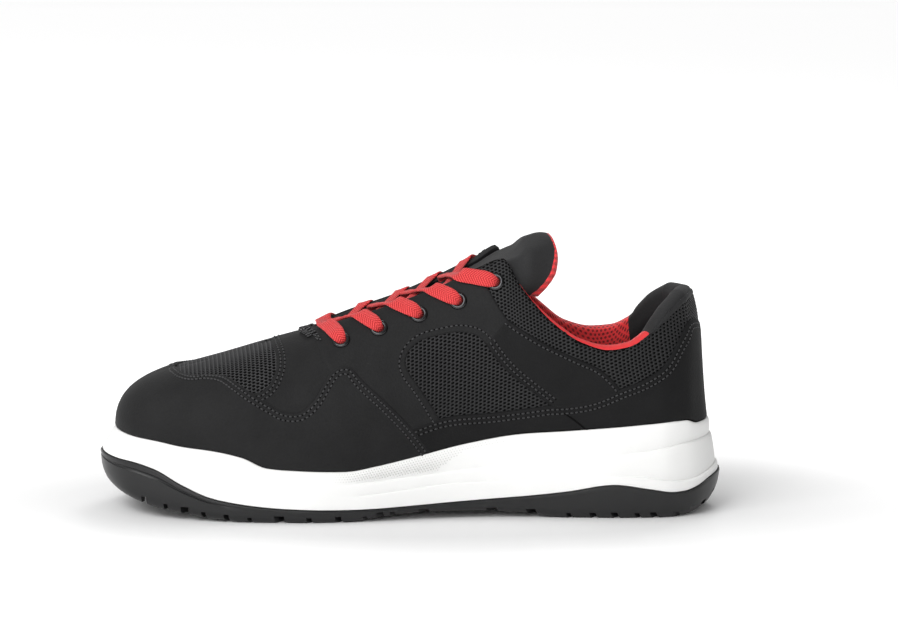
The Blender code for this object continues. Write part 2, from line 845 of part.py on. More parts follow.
def make_tongue(finish):
    rows = tongue_rows()
    thick = [1.0] * (len(rows) - len(TONGUE_END["s"])) + list(TONGUE_END["thick"])
    sheet = bmesh.new()
    grid = [[sheet.verts.new(Vector(p) * MM) for p in row] for row in rows]
    for a, b in zip(grid, grid[1:]):
        for c in range(TONGUE_COLUMNS - 1):
            sheet.faces.new((a[c], b[c], b[c + 1], a[c + 1]))
    sheet.normal_update()
    flip = -1 if grid[3][4].normal.z < 0 else 1
    bm = bmesh.new()
    outer, inner = [], []
    for row, share in zip(grid, thick):
        lift = TONGUE_THICK * (1 - share) * 0.5
        outer.append([bm.verts.new(v.co - v.normal * flip * lift * MM) for v in row])
        inner.append([bm.verts.new(v.co - v.normal * flip * (TONGUE_THICK - lift) * MM) for v in row])
    for a, b in zip(range(len(rows) - 1), range(1, len(rows))):
        for c in range(TONGUE_COLUMNS - 1):
            bm.faces.new((outer[a][c], outer[b][c], outer[b][c + 1], outer[a][c + 1]))
            bm.faces.new((inner[a][c + 1], inner[b][c + 1], inner[b][c], inner[a][c]))
        for c in (0, TONGUE_COLUMNS - 1):
            bm.faces.new((outer[a][c], inner[a][c], inner[b][c], outer[b][c]))
    for a in (0, len(rows) - 1):
        for c in range(TONGUE_COLUMNS - 1):
            bm.faces.new((outer[a][c], outer[a][c + 1], inner[a][c + 1], inner[a][c]))
    sheet.free()
    return finish_object("tongue", bm, finish, 60)


# Eyelets and lace


def tree_of(objects):
    verts, faces = [], []
    graph = bpy.context.evaluated_depsgraph_get()
    for obj in objects:
        held = obj.evaluated_get(graph)
        mesh = held.to_mesh()
        start = len(verts)
        verts += [v.co.copy() for v in mesh.vertices]
        faces += [[start + k for k in f.vertices] for f in mesh.polygons]
        held.to_mesh_clear()
    return BVHTree.FromPolygons(verts, faces)


def eyelet_places(upper):
    """Centre and outward direction of every eyelet on the upper's face."""
    tree = tree_of([upper])
    places = {}
    for side in (-1, 1):
        for k, (s, z) in enumerate(zip(EYELETS["s"], EYELETS["z"])):
            start = Vector((s, side * BEYOND, z)) * MM
            hit, normal, _, _ = tree.ray_cast(start, Vector((0, -side, 0)))
            places[side, k] = hit, normal
    return places


def turned(bm, profile, centre, axis, sides):
    """A solid of revolution from (radius, height) pairs."""
    frame = Matrix.Translation(centre) @ axis.to_track_quat("Z", "Y").to_matrix().to_4x4()
    rings = []
    for k in range(sides):
        a = 2 * math.pi * k / sides
        rings.append([
            bm.verts.new(frame @ (Vector((r * math.cos(a), r * math.sin(a), h)) * MM)) for r, h in profile
        ])
    for k in range(sides):
        a, b = rings[k], rings[(k + 1) % sides]
        for i in range(len(profile)):
            j = (i + 1) % len(profile)
            bm.faces.new((a[i], b[i], b[j], a[j]))


def eyelet_profile(seat):
    """Half section of an eyelet, (radius, height), with its flange on the seat."""
    return [
        (EYELET_HOLE_R, EYELET_FOOT),
        (EYELET_BARREL_R, EYELET_FOOT),
        (EYELET_BARREL_R, seat),
        (EYELET_FLANGE_R, seat),
        (EYELET_FLANGE_R - EYELET_ROUND, seat + EYELET_CROWN),
        (EYELET_HOLE_R, seat + EYELET_CROWN - EYELET_DISH),
    ]


def make_eyelets(places, finish):
    """Eyelets of both sides. The top pair sits on the upper itself, the others on the eyestay."""
    made = []
    for (side, k), (centre, axis) in places.items():
        bare = k == len(EYELETS["s"]) - 1
        seat = EYELET_LIFT + (0 if bare else GAP + OVERLAY_THICK)
        bm = bmesh.new()
        turned(bm, eyelet_profile(seat), centre, axis, EYELET_SIDES)
        word = "inner" if side < 0 else "outer"
        made.append(finish_object(f"eyelet_{word}_{k + 1}", bm, finish, 40))
    return made


def make_eyelet_cutter(places):
    bm = bmesh.new()
    for centre, axis in places.values():
        frame = Matrix.Translation(centre) @ axis.to_track_quat("Z", "Y").to_matrix().to_4x4()
        low, high = [], []
        for k in range(EYELET_SIDES + 2):
            a = 2 * math.pi * k / (EYELET_SIDES + 2)
            spoke = EYELET_CUT_R * math.cos(a), EYELET_CUT_R * math.sin(a)
            low.append(bm.verts.new(frame @ (Vector((*spoke, EYELET_CUT[0])) * MM)))
            high.append(bm.verts.new(frame @ (Vector((*spoke, EYELET_CUT[1])) * MM)))
        bm.faces.new(low[::-1])
        bm.faces.new(high)
        for i in range(len(low)):
            k = (i + 1) % len(low)
            bm.faces.new((low[i], low[k], high[k], high[i]))
    return cutter("eyelet_holes", bm)


def taut(heights):
    """Heights of a tight cord over an obstacle profile: the smallest arch with no dip."""
    count = len(heights)
    out = list(heights)
    for i in range(count):
        for a in range(i):
            for b in range(i + 1, count):
                line = heights[a] + (heights[b] - heights[a]) * (i - a) / (b - a)
                out[i] = max(out[i], line)
    return out


def ribbon(bm, start, stop, tree):
    """A flat lace from one plan point to another, drawn tight over what lies under it."""
    start, stop = np.array(start), np.array(stop)
    along = (stop - start) / np.linalg.norm(stop - start)
    across = np.array([-along[1], along[0]]) * LACE_WIDTH / 2
    rails = []
    for shift in (-1, 1):
        heights = []
        for k in range(LACE_STEPS + 1):
            best = -1e9
            for nudge in (-0.6, -0.3, 0, 0.3, 0.6):
                share = min(max((k + nudge) / LACE_STEPS, 0), 1)
                for inside in (1.06, 0.5):
                    p = start + (stop - start) * share + across * shift * inside
                    hit = tree.ray_cast(Vector((p[0], p[1], LENGTH)) * MM, Vector((0, 0, -1)))[0]
                    if hit is not None:
                        best = max(best, hit.z / MM)
            heights.append(best + LACE_CLEARANCE)
        rails.append(taut(heights))
    rings = []
    for k in range(LACE_STEPS + 1):
        p = start + (stop - start) * (k / LACE_STEPS)
        left = Vector((*(p - across), rails[0][k]))
        right = Vector((*(p + across), rails[1][k]))
        ahead = Vector((*along, 0))
        a, b = max(k - 1, 0), min(k + 1, LACE_STEPS)
        climb = (rails[0][b] + rails[1][b] - rails[0][a] - rails[1][a]) / 2
        ahead.z = climb / ((b - a) / LACE_STEPS * np.linalg.norm(stop - start))
        up = ahead.cross(right - left).normalized()
        up = up if up.z > 0 else -up
        lifted = up * LACE_THICK
        rings.append([bm.verts.new(q * MM) for q in (left, right, right + lifted, left + lifted)])
    for a, b in zip(rings, rings[1:]):
        for i in range(4):
            k = (i + 1) % 4
            bm.faces.new((a[i], a[k], b[k], b[i]))
    bm.faces.new(rings[0][::-1])
    bm.faces.new(rings[-1])


def plan(point):
    return np.array([point.x / MM, point.y / MM])


def throat_at(s):
    """Half gap and middle of the throat at a place along the shoe."""
    bases = np.arange(90, 196, 1.0)
    tops = [section["top_s"](base) for base in bases]
    gaps = [section["half_gap"](base) for base in bases]
    return float(np.interp(s, tops, gaps)), ridge_y(s)


def lace_target(k, side, places):
    """Plan point where the lace from an eyelet ends: past the middle for the bar that bows to
    the front of the throat, or short of the opposite edge by the next eyelet down."""
    if k == 0:
        return np.array([LACE_BAR_CREST, ridge_y(LACE_BAR_CREST) - side * LACE_BAR_PAST])
    target_s = plan(places[-side, k - 1][0])[0] + LACE_DIVE[k - 1]
    gap, middle = throat_at(target_s)
    return np.array([target_s, middle - side * (gap - LACE_SHORT)])


def make_laces(places, obstacles, finish):
    tree = tree_of(obstacles)
    short = EYELET_FLANGE_R + 2 * GAP
    made = []
    for k in range(len(EYELETS["s"])):
        arms = []
        for side in (-1, 1):
            eye = plan(places[side, k][0])
            target = lace_target(k, side, places)
            along = (target - eye) / np.linalg.norm(target - eye)
            bm = bmesh.new()
            ribbon(bm, eye + along * short, target, tree)
            arms.append(bm)
        name = f"lace_cross_{k}" if k else "lace_bar"
        first = finish_object(name, arms[0], finish, 40)
        cut(first, cutter(name + "_second", arms[1]), "UNION")
        made.append(first)
    return made


def main():
    for obj in list(bpy.data.objects):
        bpy.data.objects.remove(obj)
    frame = bpy.data.objects.new("shoe", None)
    bpy.context.scene.collection.objects.link(frame)
    inner_most = min(SOLE_PLAN["inner"])
    outer_most = max(SOLE_PLAN["outer"])
    frame.location = Vector((-LENGTH / 2, -(inner_most + outer_most) / 2, 0)) * MM

    white = material("midsole_white", (0.86, 0.86, 0.84), 0.45)
    black_rubber = material("outsole_rubber", (0.025, 0.025, 0.026), 0.5)
    microfibre = material("black_microfibre", (0.012, 0.012, 0.013), 0.85)
    knit = material("black_mesh", (0.014, 0.014, 0.015), 0.8)
    red = material("red_lace", (0.62, 0.02, 0.03), 0.75)
    dark_metal = material("dark_eyelet", (0.03, 0.03, 0.032), 0.35, 0.8)
    grey = material("grey_insole", (0.05, 0.05, 0.055), 0.9)

    outsole = make_outsole(black_rubber)
    cut(outsole, make_grooves(), "DIFFERENCE")
    make_midsole(white)
    make_insole(grey)
    upper = make_upper(knit)
    tongue = make_tongue(microfibre)
    overlays = make_overlays(microfibre)
    places = eyelet_places(upper)
    holes = make_eyelet_cutter(places)
    for obj in (upper, *overlays):
        if obj == upper or obj.name.startswith("eyestay"):
            cut(obj, holes, "DIFFERENCE")
    eyelets = make_eyelets(places, dark_metal)
    bpy.context.view_layer.update()
    make_laces(places, [upper, tongue, *overlays, *eyelets], red)


main()
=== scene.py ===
import json
import math
from functools import partial

import bmesh
import bpy
import numpy as np
from mathutils import Matrix, Vector
from mathutils.bvhtree import BVHTree
from mathutils.geometry import delaunay_2d_cdt

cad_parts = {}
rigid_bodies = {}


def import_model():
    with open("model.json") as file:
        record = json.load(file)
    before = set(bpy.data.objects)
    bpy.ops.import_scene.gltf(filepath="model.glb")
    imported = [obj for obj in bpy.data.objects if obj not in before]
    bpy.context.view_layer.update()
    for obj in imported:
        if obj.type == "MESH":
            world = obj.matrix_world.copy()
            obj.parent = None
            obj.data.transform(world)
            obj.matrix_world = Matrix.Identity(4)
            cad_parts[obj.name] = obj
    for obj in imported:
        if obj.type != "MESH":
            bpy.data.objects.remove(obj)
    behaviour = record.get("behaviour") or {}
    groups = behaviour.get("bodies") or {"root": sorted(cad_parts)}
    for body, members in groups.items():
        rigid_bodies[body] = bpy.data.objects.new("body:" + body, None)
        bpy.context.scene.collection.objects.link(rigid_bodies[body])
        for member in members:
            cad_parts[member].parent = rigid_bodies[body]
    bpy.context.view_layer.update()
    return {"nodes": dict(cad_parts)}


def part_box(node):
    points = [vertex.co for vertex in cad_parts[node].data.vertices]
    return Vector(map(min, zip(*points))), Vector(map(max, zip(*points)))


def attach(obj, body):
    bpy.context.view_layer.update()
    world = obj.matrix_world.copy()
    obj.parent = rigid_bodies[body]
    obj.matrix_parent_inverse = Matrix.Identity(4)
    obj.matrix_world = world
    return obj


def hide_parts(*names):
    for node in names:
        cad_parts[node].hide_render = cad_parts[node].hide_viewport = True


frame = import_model()
print("frame loaded,", len(frame["nodes"]), "nodes")

# Sizes are millimetres in the shoe's own places: s from the toe tip to the heel,
# y from the inner side (minus) to the outer side, z up from the floor.
mm = 0.001


def table(names, *rows):
    return dict(zip(names.split(), zip(*rows)))


def unit(ways):
    return ways / np.linalg.norm(ways, axis=-1, keepdims=True)


# flat ways turned to the left
def leftOf(ways):
    return np.stack([-ways[..., 1], ways[..., 0]], axis=-1)


# distance along a line of points, 0 at its first
def runLength(line):
    return np.concatenate([[0], np.cumsum(np.linalg.norm(np.diff(line, axis=0), axis=1))])


# rows known at some places, read at others
def readAt(where, at, rows):
    return np.stack([np.interp(where, at, values) for values in np.asarray(rows).T], axis=-1)


# curve from a to b with a given slope at each end
def cubic(t, span, a, b, slopeA, slopeB):
    start = (2 * t**3 - 3 * t**2 + 1) * a + (t**3 - 2 * t**2 + t) * span * slopeA
    return start + (3 * t**2 - 2 * t**3) * b + (t**3 - t**2) * span * slopeB


# widest outline of the sole from above
soleEdge = table(
    "s inner outer",
    (0, -8, -8), (4, -24, 8), (12, -34, 20), (25, -41, 31), (45, -46.5, 41), (70, -49.5, 49),
    (95, -50, 53), (120, -47.5, 53), (145, -42.5, 50), (170, -38, 46.5), (195, -36, 43.5),
    (220, -36.5, 41.5), (245, -37.5, 40), (268, -36, 37.5), (284, -30, 31), (295, -19.5, 20),
    (300, -10.5, 10.5), (302, 0, 0),
)
# sole from the side: tread, join of rubber and foam, top lip, foot bed
soleSide = table(
    "s tread join lip bed",
    (0, 16.4, 28, 39.6, 28), (6, 12.4, 27.2, 39, 27.2), (14, 9, 26.6, 38, 25.4), (25, 5.8, 24, 37, 23),
    (38, 3.5, 17.2, 35, 20.8), (52, 1.6, 11.4, 33.6, 19.2), (66, 0.3, 8.8, 30.8, 18),
    (78, 0, 7.4, 25.8, 17.2), (90, 0, 6.6, 24.8, 17), (115, 0, 6, 24, 17), (130, 1.5, 6.2, 26.2, 18.4),
    (150, 3.4, 7.1, 30.4, 21.6), (175, 3.4, 8.6, 36.2, 26), (200, 2.3, 10.4, 40.4, 30),
    (222, 0, 12.9, 42, 32.2), (245, 0, 16.4, 44, 34), (262, 0, 14.2, 45.5, 34.6), (275, 0, 12.4, 46.4, 35),
    (280, 0.4, 12.6, 46.4, 35.2), (287, 1.8, 14.4, 44.2, 35.6), (294, 4.4, 17.4, 44.4, 36),
    (302, 10.4, 19.6, 45, 36),
)
# long steps in the side of the foam, and how deep they are
sideLines = table(
    "s lower upper depth",
    (0, 31.6, 35.6, 0), (70, 15.5, 22.5, 0), (110, 11.6, 17.4, 0), (130, 12.9, 18.9, 1.1),
    (168, 16.8, 22.8, 1), (200, 18, 26, 0.25), (240, 20.4, 30, 0.6), (257, 20, 31.6, 1.2),
    (270, 18.2, 33.6, 1.6), (278, 17.4, 34.9, 1.8), (286, 18.2, 35.7, 1.8), (294, 20.5, 36.2, 1.7),
    (302, 23, 36.4, 1.6),
)
# key sections of the upper: where each leaves the sole, where it ends, and its curve handles
upperRows = table(
    "base topS topZ halfGap drop lean lowReach slope topReach",
    (0, 50, 69.8, 0, 0, 2, 17, 13, 32),
    (8, 53, 71, 0, 0, 3, 18, 11, 31),
    (24, 62, 73.6, 0, 0, 5, 21, 8, 28),
    (46, 74, 77.5, 0, 0, 6, 24, 4, 25),
    (70, 88, 82, 0, 0, 6, 26, 0, 24),
    (92, 101, 86.3, 0, 0, 6, 28, 0, 24),
    (104, 107, 88.8, 7, 0, 6, 28, 14, 20),
    (118, 119, 93.2, 11.4, 0, 5, 29, 28, 20),
    (140, 141, 101.2, 13.2, 0.4, 3, 30, 40, 22),
    (162, 161, 109.2, 14.4, -0.4, 2, 30, 47, 23),
    (181, 178, 118.4, 15.8, 0.4, 2, 30, 52, 25),
    (194, 190, 123.4, 18.5, -1.6, 2, 29, 56, 26),
    (203, 197, 112.5, 24.5, -2, 2, 26, 66, 26),
    (212, 205, 102.6, 28.6, -1.4, 3, 24, 74, 24),
    (222, 214, 93.8, 31.2, -1.3, 3, 22, 80, 20),
    (234, 227, 85.3, 32.6, 0, 4, 19, 84, 16),
    (246, 240, 81.6, 32.6, -0.2, 4, 17, 86, 14),
    (257, 251, 83.2, 31.6, 0.2, 4, 17, 86, 15),
    (267, 260, 88.6, 29, 0.4, 3, 18, 85, 17),
    (278, 270, 98.5, 23.5, 0, 2, 20, 82, 19),
    (290, 279.6, 105.4, 14, 0, -5, 22, 75, 18),
    (302, 284.8, 106.6, 0, 0, -11, 24, 66, 17),
)
ridgeRows = table("s y", (40, -6), (100, -5), (150, -4), (200, -3), (260, -0.5), (290, 0))
# soft troughs (plus) and ridges (minus) pressed into the upper, as lines seen from the side
creases = table(
    "s0 z0 s1 z1 wide deep",
    (90, 60, 99, 83, 4.0, 0.45),
    (97, 58, 105, 78, 4.5, -0.35),
    (128, 44, 140, 60, 6.0, 0.35),
    (206, 97, 216, 84, 5.0, 0.5),
    (222, 66, 238, 74, 5.0, 0.4),
    (252, 56, 266, 66, 6.0, 0.35),
)
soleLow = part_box("outsole")[0]
length = soleEdge["s"][-1]
shift = np.array([soleLow.x / mm, soleLow.y / mm - min(soleEdge["inner"]), 0])
# clearance between pieces that meet
gap = 0.3
lip = {"thick": 1.5, "insetSide": 3.0, "insetEnd": 6.6, "endPower": 1.5}
wall = {"thick": 2.4, "collarPad": 5.6, "padFrom": 199.0, "padBlend": 20.0, "padLow": 0.5, "padRise": 0.4}
rimBulge = table(
    "s share",
    (196, 0.12), (220, 0.2), (244, 0.25), (255, 0.2), (261, 0.15), (264, 0.36), (287, 0.42),
)


def toFrame(points):
    return (np.asarray(points, float).reshape(-1, 3) + shift) * mm


def fromFrame(point):
    return np.array(point) / mm - shift


# smooth curve through one column of a table, no overshoot
def column(source, name, key="s", warp=lambda x: x):
    x = np.array([warp(v) for v in source[key]], float)
    y = np.array(source[name], float)
    step = np.diff(x)
    rise = np.diff(y) / step
    tilt = np.zeros(len(x))
    same = rise[:-1] * rise[1:] > 0
    w1, w2 = 2 * step[1:] + step[:-1], step[1:] + 2 * step[:-1]
    before, after = np.where(same, rise[:-1], 1), np.where(same, rise[1:], 1)
    tilt[1:-1] = np.where(same, (w1 + w2) / (w1 / before + w2 / after), 0)
    tilt[0], tilt[-1] = rise[0], rise[-1]

    def at(value):
        v = min(max(warp(value), x[0]), x[-1])
        i = min(max(int(np.searchsorted(x, v)) - 1, 0), len(x) - 2)
        h = x[i + 1] - x[i]
        return float(cubic((v - x[i]) / h, h, y[i], y[i + 1], tilt[i], tilt[i + 1]))

    return at


def turn(s):
    return math.acos(1 - 2 * min(max(s / length, 0), 1))


edgeOf = {-1: column(soleEdge, "inner", warp=turn), 1: column(soleEdge, "outer", warp=turn)}
treadZ, joinZ, lipZ, bedZ = (column(soleSide, name) for name in ("tread", "join", "lip", "bed"))
lineLow, lineHigh, lineDepth = (column(sideLines, name) for name in ("lower", "upper", "depth"))
ridgeY = column(ridgeRows, "y")
upperAt = {name: column(upperRows, name, "base", turn) for name in upperRows if name != "base"}


def smoothStep(x, low, high):
    t = np.clip((np.asarray(x, float) - low) / (high - low), 0, 1)
    return t * t * (3 - 2 * t)


def stationList(count, crowding=0.62):
    share = np.arange(count + 1) / count
    return length * ((1 - crowding) * share + crowding * (1 - np.cos(math.pi * share)) / 2)


# point of the widest outline and the way inward from it, seen from above
def edgePoint(s, side, step=0.02):
    angle = turn(s)
    where = np.array([s, edgeOf[side](s)])
    if angle < 1e-6 or angle > math.pi - 1e-6:
        return where, np.array([1.0 if s < 1 else -1.0, 0.0])
    s0, s1 = (length * (1 - math.cos(min(max(angle + d, 0), math.pi))) / 2 for d in (-step, step))
    along = unit(np.array([s1 - s0, edgeOf[side](s1) - edgeOf[side](s0)]))
    return where, -side * leftOf(along)


def endShare(inward):
    return abs(inward[0]) ** lip["endPower"]


def lipInset(inward):
    return lip["insetSide"] + (lip["insetEnd"] - lip["insetSide"]) * endShare(inward)


# Modelling helpers


def only(piece):
    bpy.ops.object.select_all(action="DESELECT")
    piece.select_set(True)
    bpy.context.view_layer.objects.active = piece


def startEdit(piece):
    only(piece)
    bpy.ops.object.mode_set(mode="EDIT")
    bpy.ops.mesh.select_all(action="SELECT")


def endEdit():
    bpy.ops.object.mode_set(mode="OBJECT")


def joinAll(pieces):
    only(pieces[-1])
    for piece in pieces:
        piece.select_set(True)
    bpy.ops.object.join()
    return bpy.context.object


def newPiece(name, points, faces, *finishes):
    mesh = bpy.data.meshes.new(name)
    mesh.from_pydata(toFrame(points).tolist(), [], faces)
    piece = bpy.data.objects.new(name, mesh)
    bpy.context.scene.collection.objects.link(piece)
    for finish in finishes:
        mesh.materials.append(finish)
    return piece


# UV map from one pair of metres per vertex
def setUv(piece, uv):
    flat = piece.data.uv_layers.new(name="UVMap")
    corner = [loop.vertex_index for loop in piece.data.loops]
    flat.data.foreach_set("uv", np.asarray(uv)[corner].ravel())


# quads between rings of equal count that follow each other
def tubeFaces(rings, count):
    return [
        (r * count + k, r * count + (k + 1) % count, (r + 1) * count + (k + 1) % count, (r + 1) * count + k)
        for r in range(rings - 1) for k in range(count)
    ]


# merges doubles, turns faces outward and shades the piece
def closeUp(piece, angle=40, merge=1e-6, outward=True):
    startEdit(piece)
    bpy.ops.mesh.remove_doubles(threshold=merge)
    if outward:
        bpy.ops.mesh.normals_make_consistent(inside=False)
    endEdit()
    bpy.ops.object.shade_smooth_by_angle(angle=math.radians(angle))
    return piece


def modify(piece, kind, **values):
    only(piece)
    step = piece.modifiers.new(kind.lower(), kind)
    for name, value in values.items():
        setattr(step, name, value)
    bpy.ops.object.modifier_apply(modifier=step.name)


def cutAway(piece, tool, **values):
    modify(piece, "BOOLEAN", operation="DIFFERENCE", solver="EXACT", object=tool, **values)
    bpy.data.objects.remove(tool)


# closed loops, each extruded from the one before and set in place
def loft(name, rings, finish):
    bpy.ops.mesh.primitive_circle_add(vertices=len(rings[0]), radius=1)
    piece = bpy.context.object
    piece.name = piece.data.name = name
    startEdit(piece)
    for k, ring in enumerate(rings):
        if k:
            bpy.ops.mesh.extrude_region_move()
        shape = bmesh.from_edit_mesh(piece.data)
        for v, p in zip([v for v in shape.verts if v.select], toFrame(ring)):
            v.co = p
        bmesh.update_edit_mesh(piece.data)
    endEdit()
    piece.data.materials.append(finish)
    return piece


# grid over an open end of a loft, at a height worked out from s
def capLoft(piece, first, count, height, columns):
    startEdit(piece)
    shape = bmesh.from_edit_mesh(piece.data)
    shape.verts.ensure_lookup_table()
    ring = [shape.verts[first + k] for k in range(count)]
    rows = [[ring[0]]]
    half = count // 2
    for i in range(1, half):
        near, far = ring[i], ring[count - i]
        row = [near]
        for c in range(1, columns):
            p = fromFrame(near.co.lerp(far.co, c / columns))
            row.append(shape.verts.new(toFrame([(p[0], p[1], height(p[0]))])[0]))
        rows.append(row + [far])
    rows.append([ring[half]])
    for a, b in zip(rows, rows[1:]):
        for c in range(max(len(a), len(b)) - 1):
            corners = [a[min(c, len(a) - 1)], a[min(c + 1, len(a) - 1)]]
            corners += [b[min(c + 1, len(b) - 1)], b[min(c, len(b) - 1)]]
            shape.faces.new(list(dict.fromkeys(corners)))
    bmesh.update_edit_mesh(piece.data)
    endEdit()


def place(piece, slot, *nodes):
    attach(piece, "root")
    if nodes:
        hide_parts(*nodes)
    print("made", piece.name, len(piece.data.polygons), "faces")
    return piece


# Finishes


def newGroup(name, inputs, outputs):
    group = bpy.data.node_groups.new(name, "ShaderNodeTree")
    for label, value in inputs.items():
        socket = group.interface.new_socket(label, in_out="INPUT", socket_type="NodeSocketFloat")
        socket.default_value = value
    for label in outputs:
        group.interface.new_socket(label, in_out="OUTPUT", socket_type="NodeSocketFloat")
    return group, group.nodes.new("NodeGroupInput"), group.nodes.new("NodeGroupOutput")


def addNode(tree, kind, inputs=(), **values):
    node = tree.nodes.new(kind)
    for name, value in values.items():
        setattr(node, name, value)
    for key, value in dict(inputs).items():
        feed(tree, node.inputs[key], value)
    return node


# a link from another socket, or a fixed value
def feed(tree, socket, value):
    if isinstance(value, bpy.types.NodeSocket):
        tree.links.new(value, socket)
    else:
        socket.default_value = value


def math2(tree, operation, a, b=0.0, c=0.0):
    return addNode(tree, "ShaderNodeMath", {0: a, 1: b, 2: c}, operation=operation).outputs[0]


def vectorMath(tree, operation, *inputs, output="Vector"):
    node = addNode(tree, "ShaderNodeVectorMath", dict(enumerate(inputs)), operation=operation)
    return node.outputs[output]


# fine nap over slow patches, in the piece's own place
def makeNap():
    group, given, result = newGroup("nap", {"Fine": 2600.0, "Slow": 70.0}, ["Shade", "Height"])
    where = addNode(group, "ShaderNodeTexCoord").outputs["Object"]
    fine, slow = (
        addNode(group, "ShaderNodeTexNoise", {"Vector": where, "Scale": given.outputs[name], "Detail": much})
        for name, much in (("Fine", 3.0), ("Slow", 4.0))
    )
    slowHalf = math2(group, "MULTIPLY", slow.outputs["Fac"], 0.5)
    shade = math2(group, "MULTIPLY_ADD", fine.outputs["Fac"], 0.5, slowHalf)
    feed(group, result.inputs["Shade"], shade)
    feed(group, result.inputs["Height"], fine.outputs["Fac"])
    return group


# round holes in a staggered lattice on the UV map, with a soft edge
def makeHoles(softFrom=0.7, softTo=1.25):
    group, given, result = newGroup("holes", {"Pitch": 2.0, "Radius": 0.3}, ["Hole", "Height"])
    where = addNode(group, "ShaderNodeUVMap", uv_map="UVMap").outputs[0]
    perMetre = math2(group, "DIVIDE", 1 / mm, given.outputs["Pitch"])
    cells = addNode(group, "ShaderNodeVectorMath", {0: where, "Scale": perMetre}, operation="SCALE")
    tall = math.sqrt(3)
    near = []
    for offset in ((0, 0, 0), (0.5, 0.5, 0)):
        cell = vectorMath(group, "MULTIPLY_ADD", cells.outputs[0], (1, 1 / tall, 0), offset)
        part = vectorMath(group, "FRACTION", cell)
        away = vectorMath(group, "MULTIPLY_ADD", part, (1, tall, 0), (-0.5, -tall / 2, 0))
        near.append(vectorMath(group, "LENGTH", away, output="Value"))
    edge = addNode(group, "ShaderNodeMapRange", {
        "Value": math2(group, "MINIMUM", *near), "To Min": 1.0, "To Max": 0.0,
        "From Min": math2(group, "MULTIPLY", given.outputs["Radius"], softFrom),
        "From Max": math2(group, "MULTIPLY", given.outputs["Radius"], softTo),
    }).outputs["Result"]
    feed(group, result.inputs["Hole"], edge)
    feed(group, result.inputs["Height"], math2(group, "SUBTRACT", 1.0, edge))
    return group


# chevron rows of yarn on a lace, UV in metres along and across
def makeWeave(cordPitch=0.95):
    group, given, result = newGroup("weave", {"Pitch": 1.3, "Slant": 0.8}, ["Yarn"])
    fullTurn = 2000 * math.pi
    where = addNode(group, "ShaderNodeUVMap", uv_map="UVMap").outputs[0]
    split = addNode(group, "ShaderNodeSeparateXYZ", {0: where})
    lean = math2(group, "MULTIPLY", math2(group, "ABSOLUTE", split.outputs["Y"]), given.outputs["Slant"])
    along = math2(group, "ADD", split.outputs["X"], lean)
    turns = math2(group, "MULTIPLY", math2(group, "DIVIDE", fullTurn, given.outputs["Pitch"]), along)
    across = math2(group, "MULTIPLY", split.outputs["Y"], fullTurn / cordPitch)
    rows = math2(group, "MULTIPLY_ADD", math2(group, "SINE", turns), 0.5, 0.5)
    cords = math2(group, "MULTIPLY_ADD", math2(group, "COSINE", across), 0.25, 0.75)
    feed(group, result.inputs["Yarn"], math2(group, "MULTIPLY", rows, cords))
    return group


def newFinish(name, roughness, **sockets):
    finish = bpy.data.materials.new(name)
    finish.use_nodes = True
    shader = finish.node_tree.nodes["Principled BSDF"]
    shader.inputs["Roughness"].default_value = roughness
    for label, value in sockets.items():
        shader.inputs[label.replace("_", " ")].default_value = value
    return finish, finish.node_tree, shader


# mix of two colours, each a triple or another node's colour
def mixColours(tree, factor, first, second):
    mix = addNode(tree, "ShaderNodeMix", {"Factor": factor}, data_type="RGBA")
    ends = [socket for socket in mix.inputs if socket.type == "RGBA"]
    for socket, colour in zip(ends, (first, second)):
        feed(tree, socket, (*colour, 1) if isinstance(colour, tuple) else colour)
    return [out for out in mix.outputs if out.type == "RGBA"][0]


def bump(tree, shader, height, strength, distance):
    sizes = {"Height": height, "Strength": strength, "Distance": distance * mm}
    feed(tree, shader.inputs["Normal"], addNode(tree, "ShaderNodeBump", sizes).outputs["Normal"])


nap, holes, weave = makeNap(), makeHoles(), makeWeave()


def useGroup(tree, group, **inputs):
    return addNode(tree, "ShaderNodeGroup", inputs, node_tree=group)


def nappedFinish(name, low, high, roughness, fine=2600.0, slow=70.0, strength=0.35, depth=0.12, **sockets):
    finish, tree, shader = newFinish(name, roughness, **sockets)
    surface = useGroup(tree, nap, Fine=fine, Slow=slow)
    feed(tree, shader.inputs["Base Color"], mixColours(tree, surface.outputs["Shade"], low, high))
    bump(tree, shader, surface.outputs["Height"], strength, depth)
    return finish


def holedFinish(name, low, high, hole, roughness, pitch, radius, **sockets):
    finish, tree, shader = newFinish(name, roughness, **sockets)
    surface = useGroup(tree, nap, Fine=3200.0, Slow=120.0)
    pattern = useGroup(tree, holes, Pitch=pitch, Radius=radius)
    yarn = mixColours(tree, surface.outputs["Shade"], low, high)
    feed(tree, shader.inputs["Base Color"], mixColours(tree, pattern.outputs["Hole"], yarn, hole))
    bump(tree, shader, pattern.outputs["Height"], 0.8, 0.5)
    return finish


def lacedFinish(name, low, high):
    finish, tree, shader = newFinish(name, 0.7, Specular_IOR_Level=0.3, Sheen_Weight=0.1, Sheen_Roughness=0.5)
    yarn = useGroup(tree, weave).outputs["Yarn"]
    feed(tree, shader.inputs["Base Color"], mixColours(tree, yarn, low, high))
    bump(tree, shader, yarn, 0.7, 0.35)
    return finish


